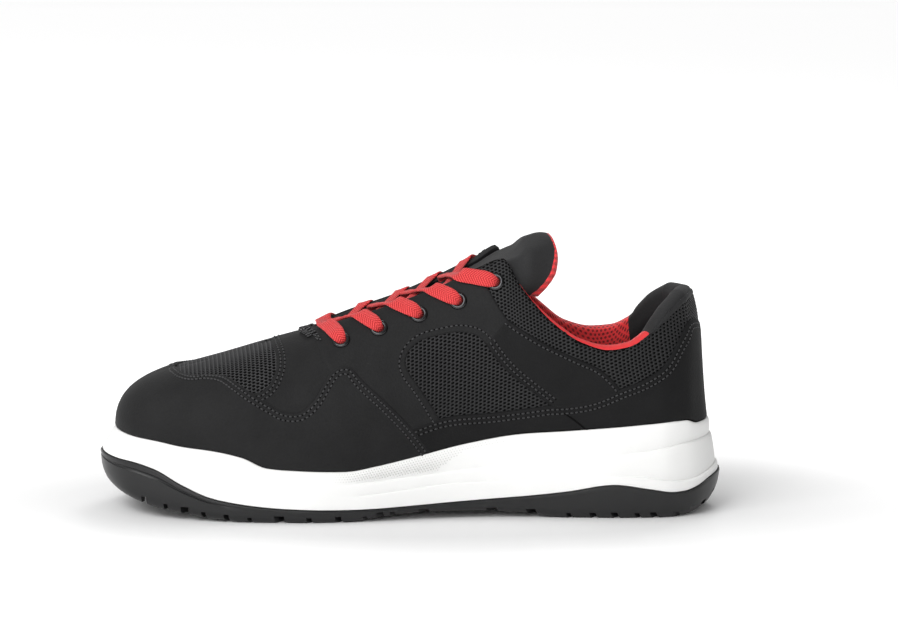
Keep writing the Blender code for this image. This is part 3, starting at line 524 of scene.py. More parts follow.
finishes = {
    "microfibre": nappedFinish(
        "blackMicrofibre", (0.002, 0.002, 0.0022), (0.0165, 0.0165, 0.017), 0.7, 1100.0, 60.0, 0.7, 0.25,
        Specular_IOR_Level=0.2, Sheen_Weight=0.03, Sheen_Roughness=0.45,
    ),
    "deepFibre": nappedFinish(
        "deepMicrofibre", (0.001, 0.001, 0.0012), (0.0075, 0.0075, 0.008), 0.7, 1100.0, 60.0, 0.7, 0.25,
        Specular_IOR_Level=0.2, Sheen_Weight=0.02, Sheen_Roughness=0.45,
    ),
    "padding": nappedFinish(
        "blackPadding", (0.008, 0.008, 0.0085), (0.03, 0.03, 0.031), 0.75, 1300.0, 60.0, 0.6, 0.2,
        Specular_IOR_Level=0.25, Sheen_Weight=0.05, Sheen_Roughness=0.4,
    ),
    # black of the shell's backing; it also colours the dark beads that paint the shade in the needle holes
    # and the band's rear gap
    "backingAndShade": nappedFinish(
        "blackBackingAndShade", (0.002, 0.002, 0.002), (0.005, 0.005, 0.005), 0.9, Specular_IOR_Level=0.05
    ),
    "yarn": nappedFinish(
        "blackYarn", (0.006, 0.006, 0.0065), (0.017, 0.017, 0.018), 0.5, 5200.0, 150.0,
        Specular_IOR_Level=0.3, Sheen_Weight=0.1, Sheen_Roughness=0.3,
    ),
    # lighter copy of the black yarn for the vamp mesh: painted light from above
    "yarnPaintedLight": nappedFinish(
        "greyYarnPaintedLight", (0.016, 0.016, 0.017), (0.045, 0.045, 0.047), 0.5, 5200.0, 150.0,
        Specular_IOR_Level=0.35, Sheen_Weight=0.15, Sheen_Roughness=0.3,
    ),
    "thread": nappedFinish(
        "blackThread", (0.017, 0.017, 0.018), (0.044, 0.044, 0.046), 0.42, 6000.0, 400.0,
        Specular_IOR_Level=0.4,
    ),
    "lining": holedFinish(
        "redLining", (0.80, 0.024, 0.03), (0.96, 0.05, 0.056), (0.26, 0.008, 0.011), 0.75, 2.3, 0.27,
        Sheen_Weight=0.2, Sheen_Roughness=0.5,
    ),
    "redEdge": nappedFinish("redEdge", (0.52, 0.012, 0.016), (0.78, 0.035, 0.038), 0.7, 3600.0, 200.0),
    "lace": lacedFinish("redLace", (0.38, 0.010, 0.012), (0.90, 0.085, 0.085)),
    "foam": nappedFinish("whiteFoam", (0.79, 0.79, 0.78), (0.83, 0.83, 0.82), 0.48, 1500.0, 25.0, 0.12, 0.06),
    # the white foam made grey for the raised dots: painted shade that lets them stand out
    "foamDotShade": nappedFinish(
        "greyFoamDotShade", (0.53, 0.53, 0.52), (0.61, 0.61, 0.60), 0.55, 1500.0, 25.0, 0.12, 0.06
    ),
    "rubber": nappedFinish(
        "blackRubber", (0.007, 0.007, 0.0075), (0.013, 0.013, 0.0135), 0.36, 1800.0, 40.0, 0.15, 0.06,
        Specular_IOR_Level=0.4,
    ),
    "metal": nappedFinish(
        "gunMetal", (0.012, 0.012, 0.013), (0.022, 0.022, 0.024), 0.26, 1500.0, 300.0, 0.08, 0.03,
        Metallic=1.0, Coat_Weight=0.6, Coat_Roughness=0.1,
    ),
    "insole": holedFinish(
        "greyInsole", (0.012, 0.012, 0.013), (0.03, 0.03, 0.032), (0.004, 0.004, 0.004), 0.85, 3.0, 0.22
    ),
}
print("finishes made")

# Fine grid of the upper's outer face

upperGrid = {"stations": 168, "rows": 46, "lipGap": 0.1, "perimeterRow": 12}
sides = (-1, 1)
stations = stationList(upperGrid["stations"])
heights = np.linspace(0, 1, upperGrid["rows"])


def upperInset(inward):
    return lipInset(inward) + lip["thick"] + gap


def sectionPoints(s, side):
    where, inward = edgePoint(s, side)
    foot = where + inward * upperInset(inward)
    topS = upperAt["topS"](s)
    drop = upperAt["drop"](s) if side > 0 else 0
    top = np.array([topS, ridgeY(topS) + side * upperAt["halfGap"](s), upperAt["topZ"](s) - drop])
    start = np.array([foot[0], foot[1], lipZ(foot[0]) + gap + upperGrid["lipGap"]])
    into, up = np.array([inward[0], inward[1], 0]), np.array([0, 0, 1.0])
    lean, slope = math.radians(upperAt["lean"](s)), math.radians(upperAt["slope"](s))
    low = start + upperAt["lowReach"](s) * (up * math.cos(lean) - into * math.sin(lean))
    high = top - upperAt["topReach"](s) * (into * math.cos(slope) + up * math.sin(slope))
    t = heights[:, None]
    return (1 - t) ** 3 * start + 3 * (1 - t) ** 2 * t * low + 3 * (1 - t) * t**2 * high + t**3 * top


def gridNormals(points):
    ahead = np.concatenate([points[:, 1:], points[::-1, -2:-1]], axis=1)
    behind = np.concatenate([points[::-1, 1:2], points[:, :-1]], axis=1)
    up = np.gradient(points, axis=2)
    up[:, closed, -1] = points[::-1, closed, -2] - points[:, closed, -2]
    normal = np.cross(ahead - behind, up) * np.array([1, -1])[:, None, None, None]
    normal[:, closed, -1] = normal[:, closed, -1].sum(axis=0)
    normal[:, [0, -1]] = normal[:, [0, -1]].sum(axis=0)
    normal[:, 0, -1] = normal[:, 0, -2]
    return unit(normal)


def creaseDepth(points):
    depth = np.zeros(points.shape[:3])
    for s0, z0, s1, z1, wide, deep in zip(*creases.values()):
        start, run = np.array([s0, z0]), np.array([s1 - s0, z1 - z0])
        away = points[..., [0, 2]] - start
        share = np.clip((away @ run) / (run @ run), 0, 1)
        distance = np.linalg.norm(away - share[..., None] * run, axis=3)
        depth += deep * np.exp(-((distance / wide) ** 2))
    return depth


closed = np.array([upperAt["halfGap"](s) < 0.01 for s in stations])
closed[-1] = False
points = np.array([[sectionPoints(s, side) for s in stations] for side in sides])
points = points - gridNormals(points) * creaseDepth(points)[..., None]
normals = gridNormals(points)
arc = np.zeros(points.shape[:3])
arc[..., 1:] = np.cumsum(np.linalg.norm(np.diff(points, axis=2), axis=3), axis=2)
around = np.array([runLength(line) for line in points[:, :, upperGrid["perimeterRow"]]])
sign = np.array(sides)[:, None, None]
wide = np.broadcast_to(around[..., None], arc.shape)
# the face laid flat in several ways; each suits some of the panels
flatGrid = {
    "view": np.stack([points[..., 0], points[..., 2]], axis=3),
    "side": np.stack([points[..., 0], arc], axis=3),
    "front": np.stack([sign * wide, arc], axis=3),
    "top": np.stack([points[..., 0], sign * (arc[..., -1:] - arc)], axis=3),
    "heel": np.stack([sign * (wide[:, -1:] - wide), arc], axis=3),
}
flatNodes = {kind: grid.reshape(-1, 2) for kind, grid in flatGrid.items()}
nodePoints, nodeNormals = points.reshape(-1, 3), normals.reshape(-1, 3)
placesAndWays = np.concatenate([points, normals], axis=3)
nodeIds = np.arange(len(nodePoints)).reshape(points.shape[:3])


def makeChart(kind, which, low=-10.0, high=400.0):
    ids = nodeIds[list(which)]
    a, b, c, d = ids[:, :-1, :-1], ids[:, 1:, :-1], ids[:, 1:, 1:], ids[:, :-1, 1:]
    tris = np.concatenate([np.stack(t, axis=-1).reshape(-1, 3) for t in ((a, b, c), (a, c, d))])
    x = nodePoints[tris][:, :, 0]
    tris = tris[((x >= low) & (x <= high)).all(axis=1)]
    flat = flatNodes[kind]
    used, remap = np.unique(tris, return_inverse=True)
    corners = [Vector((*flat[k], 0)) for k in used]
    tree = BVHTree.FromPolygons(corners, remap.reshape(-1, 3).tolist())
    return {"kind": kind, "tris": tris, "flat": flat, "tree": tree}


charts = {}
for index in (0, 1):
    charts["view", index] = makeChart("view", [index])
    charts["side", index] = makeChart("side", [index], 70, 290)
charts["front"] = makeChart("front", [0, 1], -10, 190)
charts["top"] = makeChart("top", [0, 1], 40, 135)
charts["vamp"] = {"kind": "vamp"}
charts["heel"] = makeChart("heel", [0, 1], 140)

slices = {}


# crossing of the vamp at one s: distance from the middle line, and places with their normals
def sliceAt(s, index):
    key = round(float(s), 2), index
    if key not in slices:
        rows, steps = np.arange(upperGrid["rows"]), np.arange(len(stations))
        found = []
        top = placesAndWays[index, :, -1]
        if s > top[0, 0]:
            found.append(readAt(np.interp(s, top[:, 0], steps), steps, top))
        for section in placesAndWays[index]:
            x = np.maximum.accumulate(section[:, 0])
            if x[0] <= s <= x[-1]:
                found.append(readAt(np.interp(s, x, rows), rows, section))
        found = np.array(found)
        slices[key] = runLength(found[:, :3]), found
    return slices[key]


def liftVamp(flat):
    found = np.array([readAt(abs(across), *sliceAt(s, 0 if across < 0 else 1)) for s, across in flat])
    return found[:, :3], unit(found[:, 3:])


# the three grid nodes round a flat point and their shares
def locate(chart, p):
    hit = chart["tree"].ray_cast(Vector((p[0], p[1], 1)), Vector((0, 0, -1)))
    if hit[2] is None:
        hit = chart["tree"].find_nearest(Vector((p[0], p[1], 0)))
    ids = chart["tris"][hit[2]]
    a, b, c = chart["flat"][ids]
    q = np.array(hit[0][:2])
    (ux, uy), (vx, vy), (wx, wy) = b - a, c - a, q - a
    area = ux * vy - uy * vx
    second, third = (wx * vy - wy * vx) / area, (ux * wy - uy * wx) / area
    return ids, np.array([1 - second - third, second, third])


def lift(chart, flat):
    if chart["kind"] == "vamp":
        return liftVamp(flat)
    found = [locate(chart, p) for p in flat]
    ids = np.array([f[0] for f in found])
    shares = np.array([f[1] for f in found])[..., None]
    normal = (nodeNormals[ids] * shares).sum(axis=1)
    return (nodePoints[ids] * shares).sum(axis=1), unit(normal)


def reflat(kind, index, viewPoints):
    made = []
    for p in viewPoints:
        if kind == "vamp":
            run, spots = sliceAt(p[0], index)
            made.append((p[0], sides[index] * max(np.interp(-p[1], -spots[:, 2], run), 1e-3)))
            continue
        ids, shares = locate(charts["view", index], p)
        made.append(shares @ flatNodes[kind][ids])
    return np.array(made)


print("upper laid out")

# Seams of the panels seen from the side, (s, z)

seams = {
    "guardFront": [(35.2, 67.2), (38.4, 66), (44, 65.6), (52.3, 66.8), (59.4, 66.4), (65, 63.4), (69, 60.9)],
    "guardDip": [
        (69, 60.9), (79.3, 54.9), (86.4, 51.8), (92.8, 51.8), (98.9, 56.3), (104.5, 64.4), (108, 69.2),
    ],
    "guardRear": [(108, 69.2), (112.3, 71.9), (117, 72.1), (121.6, 67.6), (136, 54.7), (146.8, 43.6)],
    "guardEnd": [(146.8, 43.6), (154.8, 33.5)],
    "meshRear": [(69, 60.9), (74.4, 60.8), (78, 63.2), (81.2, 67.9), (82.5, 72.4), (81.6, 78.2), (80, 80.8)],
    "eyestayFront": [(108, 69.2), (104.4, 75.6), (102.3, 80.6), (99.6, 84.6)],
    "windowLeft": [(159.8, 48), (149.8, 63.4), (144.4, 70.9), (143.2, 74.6), (144.6, 79.4), (148.3, 83.3)],
    "windowTop": [(148.3, 83.3), (160.2, 87.5), (170.6, 89), (177, 87.6), (181.6, 83.6)],
    "windowRight": [(181.6, 83.6), (190.9, 71.9), (202.7, 62.3), (213, 54.6)],
    "strapFront": [(181.6, 83.6), (191.4, 95.8)],
    "eyestayRear": [(191.4, 95.8), (186.2, 103.4), (182.2, 110), (177.4, 115)],
    "strapRear": [(191.4, 95.8), (209.9, 84.4), (225.5, 77.4), (236.7, 72.1), (246.3, 62.8)],
    "bandTop": [(146.8, 43.6), (159.8, 48), (189.2, 51), (213, 54.6)],
    "bandEnd": [(213, 54.6), (219.4, 51.2), (232, 41.6)],
    "counterFront": [(213, 54.6), (222.6, 55.2), (232.1, 57), (246.3, 62.8)],
    "counterTop": [
        (246.3, 62.8), (258.5, 67.5), (266.5, 72.2), (274.9, 84), (278.6, 90.2), (280.4, 92.9), (283.8, 93.6),
        (288, 91),
    ],
}
panels = {
    "spacing": 1.25, "inside": 2.4, "edgeInset": 0.32, "roundInset": 0.9, "round": 0.5, "ease": 0.22,
    "under": -0.2, "cutRadius": 3.2, "cutSides": 20, "cutClear": 0.6,
}
eyelets = table("s z", (113.4, 83.4), (131.1, 89.4), (150, 96.2), (168.6, 103), (186, 112.6))
eyeletPairs = list(zip(eyelets["s"], eyelets["z"]))
# height of each layer's face above the upper's own face
layer = {
    "mesh": 0.35, "fold": 0.6, "saddle": 0.7, "eyestay": 0.95, "strap": 1.1, "band": 1.2, "counter": 1.25,
    "guard": 1.6,
}


def smoothRun(knots):
    knots = np.array(knots, float)
    at = runLength(knots)
    slope = np.gradient(knots, at, axis=0, edge_order=2 if len(knots) > 2 else 1)
    where = np.linspace(0, at[-1], max(int(at[-1] / panels["spacing"]), 2) + 1)
    i = np.clip(np.searchsorted(at, where) - 1, 0, len(at) - 2)
    h = (at[i + 1] - at[i])[:, None]
    return cubic((where - at[i])[:, None] / h, h, knots[i], knots[i + 1], slope[i], slope[i + 1])


# one smooth run along seams that follow each other, in the side view
def viewRun(names, move=(0, 0), apart=0.01):
    knots = []
    for name in names.split():
        knots += [p for p in seams[name] if not knots or math.dist(p, knots[-1]) > apart]
    return smoothRun(knots) + np.array(move)


def seamRun(kind, index, names, move=(0, 0)):
    return reflat(kind, index, viewRun(names, move))


# run along the sole line (row 0) or the top edge (row -1)
def borderRun(kind, index, row, s0, s1):
    x = points[index, :, row, 0]
    steps = np.arange(len(x))
    ends = np.interp([s0, s1], x, steps)
    run = abs(np.diff(np.interp(ends, steps, around[index]))[0])
    at = np.linspace(*ends, max(int(run / panels["spacing"]), 2) + 1)
    return readAt(at, steps, flatGrid[kind][index, :, row])


# runs joined to one loop, counterclockwise, without doubles
def outline(*runs, apart=0.25):
    loop = []
    for run in runs:
        loop += [p for p in run if not loop or math.dist(p, loop[-1]) > apart]
    if math.dist(loop[0], loop[-1]) < apart:
        loop.pop()
    loop = np.array(loop)
    x, y = loop[:, 0], loop[:, 1]
    area = np.sum(x * np.roll(y, -1) - np.roll(x, -1) * y)
    return loop if area > 0 else loop[::-1]


def insetLoop(loop, distance, sharpest=0.6):
    before = unit(loop - np.roll(loop, 1, axis=0))
    left = leftOf(before)
    middle = left + np.roll(left, -1, axis=0)
    scale = np.maximum((middle * left).sum(axis=1, keepdims=True), sharpest)
    return loop + middle / scale * distance


def insideLoop(loop, spots):
    a, b = loop, np.roll(loop, -1, axis=0)
    x, y = spots[:, 0:1], spots[:, 1:2]
    spans = (a[:, 1] > y) != (b[:, 1] > y)
    rise = b[:, 1] - a[:, 1]
    cross = a[:, 0] + (y - a[:, 1]) / np.where(rise == 0, 1e-9, rise) * (b[:, 0] - a[:, 0])
    return ((x < cross) & spans).sum(axis=1) % 2 == 1


def loopDistance(loop, spots):
    a, run = loop, np.roll(loop, -1, axis=0) - loop
    away = spots[:, None] - a
    share = np.clip((away * run).sum(axis=2) / (run * run).sum(axis=1), 0, 1)
    return np.linalg.norm(away - share[..., None] * run, axis=2).min(axis=1)


def hexSpots(loop, pitch):
    low, high = loop.min(axis=0) - pitch, loop.max(axis=0) + pitch
    rise = pitch * math.sqrt(3) / 2
    spots = []
    for j in range(int((high[1] - low[1]) / rise) + 1):
        xs = np.arange(low[0] + (j % 2) * pitch / 2, high[0], pitch)
        spots.append(np.stack([xs, np.full(len(xs), low[1] + j * rise)], axis=1))
    return np.concatenate(spots)


def clearOf(cuts, spots, radius):
    keep = np.ones(len(spots), bool)
    for c in cuts:
        keep &= np.linalg.norm(spots - c, axis=1) > radius
    return keep


# a panel: its outline filled with triangles, lifted onto the upper, with a rounded edge
def makePanel(name, chart, loop, face, finish, cuts=()):
    radius = panels["cutRadius"]
    rings = [loop, insetLoop(loop, panels["edgeInset"]), insetLoop(loop, panels["roundInset"])]
    turns = np.linspace(0, 2 * math.pi, panels["cutSides"], endpoint=False)
    rings += [c + radius * np.stack([np.cos(turns), np.sin(turns)], axis=1) for c in cuts]
    fill = hexSpots(loop, panels["inside"])
    fill = fill[insideLoop(loop, fill)]
    fill = fill[loopDistance(loop, fill) > panels["roundInset"] + 0.5 * panels["inside"]]
    fill = fill[clearOf(cuts, fill, radius + panels["cutClear"])]
    spots, links = [], []
    for ring in rings:
        first = len(spots)
        spots += [Vector(p) for p in ring]
        links += [(first + k, first + (k + 1) % len(ring)) for k in range(len(ring))]
    spots += [Vector(p) for p in fill]
    made = delaunay_2d_cdt(spots, links, [list(range(len(loop)))], 1, 1e-4)
    flat = np.array([tuple(v) for v in made[0]])
    middle = np.array([flat[list(f)].mean(axis=0) for f in made[2]])
    tris = [tuple(f) for f, good in zip(made[2], clearOf(cuts, middle, radius)) if good]
    rise = np.full(len(flat), face)
    for k, came in enumerate(made[3]):
        first = min(came, default=len(spots))
        if first < len(loop):
            rise[k] = face - panels["round"]
        elif first < 2 * len(loop):
            rise[k] = face - panels["ease"] * panels["round"]
    where, normal = lift(chart, flat)
    top = where + normal * rise[:, None]
    bottom = where + normal * panels["under"]
    count = len(flat)
    edges = dict.fromkeys(edge for a, b, c in tris for edge in ((a, b), (b, c), (c, a)))
    walls = [(b, a, a + count, b + count) for a, b in edges if (b, a) not in edges]
    faces = tris + [(c + count, b + count, a + count) for a, b, c in tris] + walls
    piece = newPiece(name, np.concatenate([top, bottom]), faces, finish)
    startEdit(piece)
    bpy.ops.mesh.delete_loose()
    endEdit()
    return closeUp(piece, 55)


# open fabric: a staggered lattice of real holes in upright columns, thickened
def makeLattice(name, chart, loop, cloth, finish, cuts=()):
    stretch = np.array([cloth["stretch"], 1])
    spots = hexSpots((loop / stretch)[:, ::-1], cloth["pitch"])[:, ::-1] * stretch
    spots = spots[insideLoop(loop, spots)]
    spots = spots[clearOf(cuts, spots, cloth["cutRadius"])]
    angles = np.radians(60 * np.arange(6))
    spoke = np.stack([np.cos(angles), np.sin(angles)], axis=1) * stretch
    flat, rises, corners, faces = [], [], {}, []
    for c in spots:
        outer = []
        for arm in spoke:
            p = c + arm * cloth["pitch"] / math.sqrt(3)
            key = tuple(np.round(p * cloth["cornerGrain"]).astype(int))
            if key not in corners:
                corners[key] = len(flat)
                flat.append(p)
                rises.append(cloth["rise"])
            outer.append(corners[key])
        first, count = len(flat), len(spoke)
        flat += [c + arm * cloth["hole"] for arm in spoke]
        rises += [cloth["rise"] - cloth["dip"]] * count
        for k in range(count):
            n = (k + 1) % count
            faces.append((outer[k], outer[n], first + n, first + k))
    where, normal = lift(chart, np.array(flat))
    lifted = where + normal * np.array(rises)[:, None]
    a, b, c = (lifted[faces[0][k]] for k in (0, 1, 2))
    if np.cross(b - a, c - a) @ normal[faces[0][0]] < 0:
        faces = [f[::-1] for f in faces]
    piece = newPiece(name, lifted, faces, finish)
    modify(piece, "SOLIDIFY", thickness=cloth["thick"] * mm, offset=-1)
    bpy.ops.object.shade_smooth()
    return piece


eyeletSpots = {}
for index in (0, 1):
    for k, spot in enumerate(eyeletPairs):
        ids, shares = locate(charts["view", index], spot)
        eyeletSpots[index, k] = shares @ nodePoints[ids], unit(shares @ nodeNormals[ids])


# height of the face that an eyelet sits on: the eyestay, or the mesh at the last one
def eyeletSeat(k):
    return layer["eyestay"] if k < len(eyeletPairs) - 1 else layer["mesh"]


# Upper shell: backing outside, lining inside, rounded rim

liningEnds = {"redFrom": 196.0, "redTo": 261.5, "heelStep": 0.9}
drill = {"radius": 3.0, "deep": 12.0, "sides": 24}
topPlaces = np.array([upperAt["topS"](s) for s in stations])


# the wall grows to the padded collar over the upper part of its height
def shellThickness():
    up = np.clip(((1 + 7 * heights) / 8 - wall["padLow"]) / wall["padRise"], 0, 1)
    pad = wall["collarPad"] * smoothStep(stations, wall["padFrom"], wall["padFrom"] + wall["padBlend"])
    heel = (topPlaces > liningEnds["redTo"])[:, None] * up
    thick = wall["thick"] + pad[:, None] * smoothStep(up, 0, 1) + liningEnds["heelStep"] * heel
    return np.stack([thick, thick])


def makeUpperShell(rimRows=7):
    thick = shellThickness()
    inner = points - normals * thick[..., None]
    feet = np.stack([points[:, :, :1], inner[:, :, :1]])
    feet[..., 0, 2] = np.array([bedZ(x) + gap for x in points[:, :, 0, 0].ravel()]).reshape(2, -1)
    up = unit(points[:, :, -1] - points[:, :, -2])
    up[:, closed] = (1, 0, 0)
    half = (points[:, :, -1] - inner[:, :, -1]) / 2
    middle = (points[:, :, -1] + inner[:, :, -1]) / 2
    swell = column(rimBulge, "share")
    bulge = np.array([swell(s) for s in topPlaces])[None, :, None] * thick[:, :, -1:]
    turns = np.linspace(0, math.pi, rimRows + 2)[1:-1]
    rim = np.stack([middle + half * math.cos(a) + up * bulge * math.sin(a) for a in turns], axis=2)
    rows = np.concatenate([feet[0], points, rim, inner[:, :, ::-1], feet[1]], axis=2)
    count = rows.shape[2]
    topOut = points.shape[2]
    topIn = topOut + rimRows + 1
    ids = np.arange(rows[..., 0].size).reshape(rows.shape[:3])
    uv = np.zeros(rows.shape[:3] + (2,))
    uv[..., 0] = around[..., None]
    uv[..., 1:, 1] = np.cumsum(np.linalg.norm(np.diff(rows, axis=2), axis=3), axis=2)
    slots = {"backingAndShade": 0, "lining": 1, "padding": 2, "redEdge": 3}
    faces, kinds = [], []
    for index in (0, 1):
        for i in range(len(stations) - 1):
            black = topPlaces[i + 1] > liningEnds["redTo"] or topPlaces[i] < liningEnds["redFrom"]
            for j in range(count):
                k = (j + 1) % count
                if topOut <= j < topIn and closed[i] and closed[i + 1]:
                    continue
                quad = [ids[index, i, j], ids[index, i + 1, j], ids[index, i + 1, k], ids[index, i, k]]
                faces.append(quad if index == 0 else quad[::-1])
                if j < topOut:
                    kinds.append(slots["backingAndShade"])
                elif black:
                    kinds.append(slots["padding"])
                else:
                    kinds.append(slots["redEdge" if j < (topOut + topIn) // 2 else "lining"])
    piece = newPiece("upperShell", rows.reshape(-1, 3), faces, *(finishes[name] for name in slots))
    piece.data.polygons.foreach_set("material_index", kinds)
    setUv(piece, uv.reshape(-1, 2) * mm)
    return closeUp(piece, 60, outward=False)


def eyeletDrills():
    made = []
    for spot, normal in eyeletSpots.values():
        turnTo = Vector(normal).to_track_quat("Z", "Y").to_euler()
        bpy.ops.mesh.primitive_cylinder_add(
            vertices=drill["sides"], radius=drill["radius"] * mm, depth=drill["deep"] * mm,
            location=toFrame([spot])[0], rotation=turnTo,
        )
        made.append(bpy.context.object)
    return joinAll(made)


upperShell = makeUpperShell()
cutAway(upperShell, eyeletDrills())
place(upperShell, "upper_mesh", "upper")

# Open mesh fabric in the windows and round the collar

fabric = {
    "pitch": 1.75, "stretch": 1.28, "hole": 0.58, "rise": 0.42, "thick": 0.5, "dip": 0.12,
    "cutRadius": 3.4, "cornerGrain": 20,
}
vampFabric = {**fabric, "hole": 0.68, "rise": 0.5, "thick": 0.6, "dip": 0.34}
sideNames = ("Inner", "Outer")
# seams laid flat, inner and outer side
onVamp, onFront, onTop, onHeel, onSide = (
    [partial(seamRun, kind, index) for index in (0, 1)] for kind in ("vamp", "front", "top", "heel", "side")
)


def addMesh(name, chart, loop, cloth, finish, cuts=()):
    place(makeLattice(name, chart, loop, cloth, finishes[finish], cuts), "upper_mesh")


vampNames = "guardFront meshRear"
vampLoop = outline(onVamp[0](vampNames), onVamp[1](vampNames)[::-1])
# the vamp mesh takes the lighter yarn, painted light from above
addMesh("vampMesh", charts["vamp"], insetLoop(vampLoop, -1.5), vampFabric, "yarnPaintedLight")


def collarHalf(index):
    seam = onHeel[index]
    front = seam("eyestayRear", (-2, -1))[::-1]
    return [front, seam("strapRear", (-1, -2.5)), seam("counterTop", (0.5, -2.5))]


collarLoop = outline(
    *collarHalf(0), *(run[::-1] for run in collarHalf(1)[::-1]),
    borderRun("heel", 1, -1, 177, 290), borderRun("heel", 0, -1, 290, 177),
)
topEyes = [reflat("heel", index, eyeletPairs[-1:])[0] for index in (0, 1)]
addMesh("collarMesh", charts["heel"], insetLoop(collarLoop, 0.6), fabric, "yarn", topEyes)
for index, seam in enumerate(onSide):
    windowLoop = outline(seam("windowLeft windowTop windowRight"), seam("bandTop")[::-1][:40])
    windowLoop = insetLoop(windowLoop, -2.0)
    addMesh("quarterMesh" + sideNames[index], charts["side", index], windowLoop, fabric, "yarn")

# Panels, lowest layer first


def addPanel(name, chart, height, finish, runs, nodes=(), cuts=()):
    piece = makePanel(name, chart, outline(*runs), layer[height], finishes[finish], cuts)
    place(piece, "microfibre", *nodes)


addPanel("saddlePanel", charts["top"], "saddle", "microfibre", [
    onTop[0]("meshRear"), onTop[1]("meshRear")[::-1],
    onTop[1]("guardDip", (0, -3)), onTop[1]("eyestayFront", (3, 0)),
    onTop[0]("eyestayFront", (3, 0))[::-1], onTop[0]("guardDip", (0, -3))[::-1],
], ["vamp_saddle"])
for index, seam in enumerate(onSide):
    chart, side, word = charts["side", index], sideNames[index], sideNames[index].lower()
    addPanel("eyestayPanel" + side, chart, "eyestay", "microfibre", [
        seam("eyestayFront")[::-1], seam("guardRear", (-1, -3)),
        reflat("side", index, [(161.6, 44.6)]), seam("windowLeft windowTop"),
        seam("strapFront", (2.5, -1.5)), seam("eyestayRear"),
        borderRun("side", index, -1, 177.4, 99.6),
    ], ["eyestay_" + word], reflat("side", index, eyeletPairs[:-1]))
    addPanel("strapPanel" + side, chart, "strap", "deepFibre", [
        seam("windowRight"), seam("counterFront", (0, -3.5)),
        seam("strapRear")[::-1], seam("strapFront")[::-1],
    ], ["strap_" + word])
    addPanel("bandPanel" + side, chart, "band", "deepFibre", [
        reflat("side", index, [(143, 42)]), seam("bandTop"),
        seam("bandEnd", (2.5, 0)), borderRun("side", index, 0, 231, 152),
    ], ["band_" + word])
counterNames = "counterFront counterTop"
addPanel("heelCounterPanel", charts["heel"], "counter", "deepFibre", [
    borderRun("heel", 0, 0, 232, 230)[-1:], onHeel[0]("bandEnd")[::-1],
    onHeel[0](counterNames), onHeel[1](counterNames)[::-1],
    onHeel[1]("bandEnd"), borderRun("heel", 1, 0, 232, 300), borderRun("heel", 0, 0, 300, 232),
], ["heel_counter"])
guardNames = "guardFront guardDip guardRear guardEnd"
addPanel("toeGuardPanel", charts["front"], "guard", "microfibre", [
    onFront[0](guardNames)[::-1], onFront[1](guardNames),
    borderRun("front", 1, 0, 155.6, 0), borderRun("front", 0, 0, 0, 155.6),
], ["toe_guard"])

# Sole

sole = {
    "stations": 150, "stepDepth": 0.75, "sideInset": 0.9, "flare": 1.3, "rim": 2.4, "seat": 8.0,
    "core": 5.0, "coreBelow": 1.2, "rimBelow": 0.3, "lipRound": 0.9,
}
# rounded lip of the foam: how far in from its outer edge, and how far below its top
lipEdge = table(
    "inset rise",
    (0.12, -0.4), (0.45, -0.08), (0.9, 0), (lip["thick"] - 0.15, -0.15), (lip["thick"], -0.6),
)


def ringAround(insetOf, heightOf, count=sole["stations"], clear=0.0):
    ring = []
    stops = stationList(count)
    for s, side in [(s, -1) for s in stops] + [(s, 1) for s in stops[-2:0:-1]]:
        where, inward = edgePoint(s, side)
        where = where + inward * insetOf(where[0], inward)
        z = heightOf(where[0]) + clear
        where = where + inward * clear
        ring.append((where[0], where[1], z))
    return ring


def coreZ(s):
    return min(treadZ(s) + sole["core"], joinZ(s) - sole["coreBelow"])


def wallInset(share, inward):
    return sole["sideInset"] + (lipInset(inward) - sole["sideInset"]) * max(share, 0) ** sole["flare"]


# one loop of the foam's side, at a height given by a rule, set in by a share of the step
def sideLoop(heightOf, step):
    def inset(s, inward):
        share = (heightOf(s) - joinZ(s)) / (lipZ(s) - joinZ(s))
        return wallInset(share, inward) + step * sole["stepDepth"] * lineDepth(s)

    return ringAround(inset, heightOf)


def between(low, high, share):
    return lambda s: low(s) + (high(s) - low(s)) * share


def above(line, rise):
    return lambda s: line(s) + rise


# a loft with a grid over its first and its last loop
def cappedLoft(name, loops, finish, first, last, angle):
    piece = loft(name, loops, finishes[finish])
    count = len(loops[0])
    capLoft(piece, 0, count, *first)
    capLoft(piece, (len(loops) - 1) * count, count, *last)
    return closeUp(piece, angle)


# core and rim of the sole, where foam and rubber meet
def soleSeat(clear):
    core = ringAround(lambda s, n: sole["seat"], coreZ, clear=clear)
    return [core, ringAround(lambda s, n: sole["rim"], above(joinZ, -sole["rimBelow"]), clear=clear)]


def makeMidsole():
    foot = above(joinZ, gap)
    nearLip = above(lipZ, -sole["lipRound"])
    sideRules = [
        (foot, 0), (between(foot, lineLow, 0.35), 0), (between(foot, lineLow, 0.7), 0),
        (above(lineLow, -0.5), 0), (lineLow, 0.15), (above(lineLow, 0.35), 1.1), (above(lineLow, 0.9), 0.85),
        (between(lineLow, lineHigh, 0.4), 0.6), (between(lineLow, lineHigh, 0.7), 0.5),
        (above(lineHigh, -0.5), 0.45), (lineHigh, 0.6), (above(lineHigh, 0.35), 1.5),
        (above(lineHigh, 0.9), 1.25),
        (between(lineHigh, nearLip, 0.4), 0.7), (between(lineHigh, nearLip, 0.75), 0.2), (nearLip, 0),
    ]
    loops = soleSeat(gap) + [sideLoop(rule, step) for rule, step in sideRules]
    for inset, rise in zip(*lipEdge.values()):
        loops.append(ringAround(lambda s, n: lipInset(n) + inset, above(lipZ, rise)))
    loops.append(ringAround(lambda s, n: lipInset(n) + lip["thick"], bedZ))
    return cappedLoft("midsoleFoam", loops, "foam", (above(coreZ, gap), 6), (bedZ, 6), 60)


place(makeMidsole(), "midsole_foam", "midsole")

# Rubber outsole with lugs cut across the tread

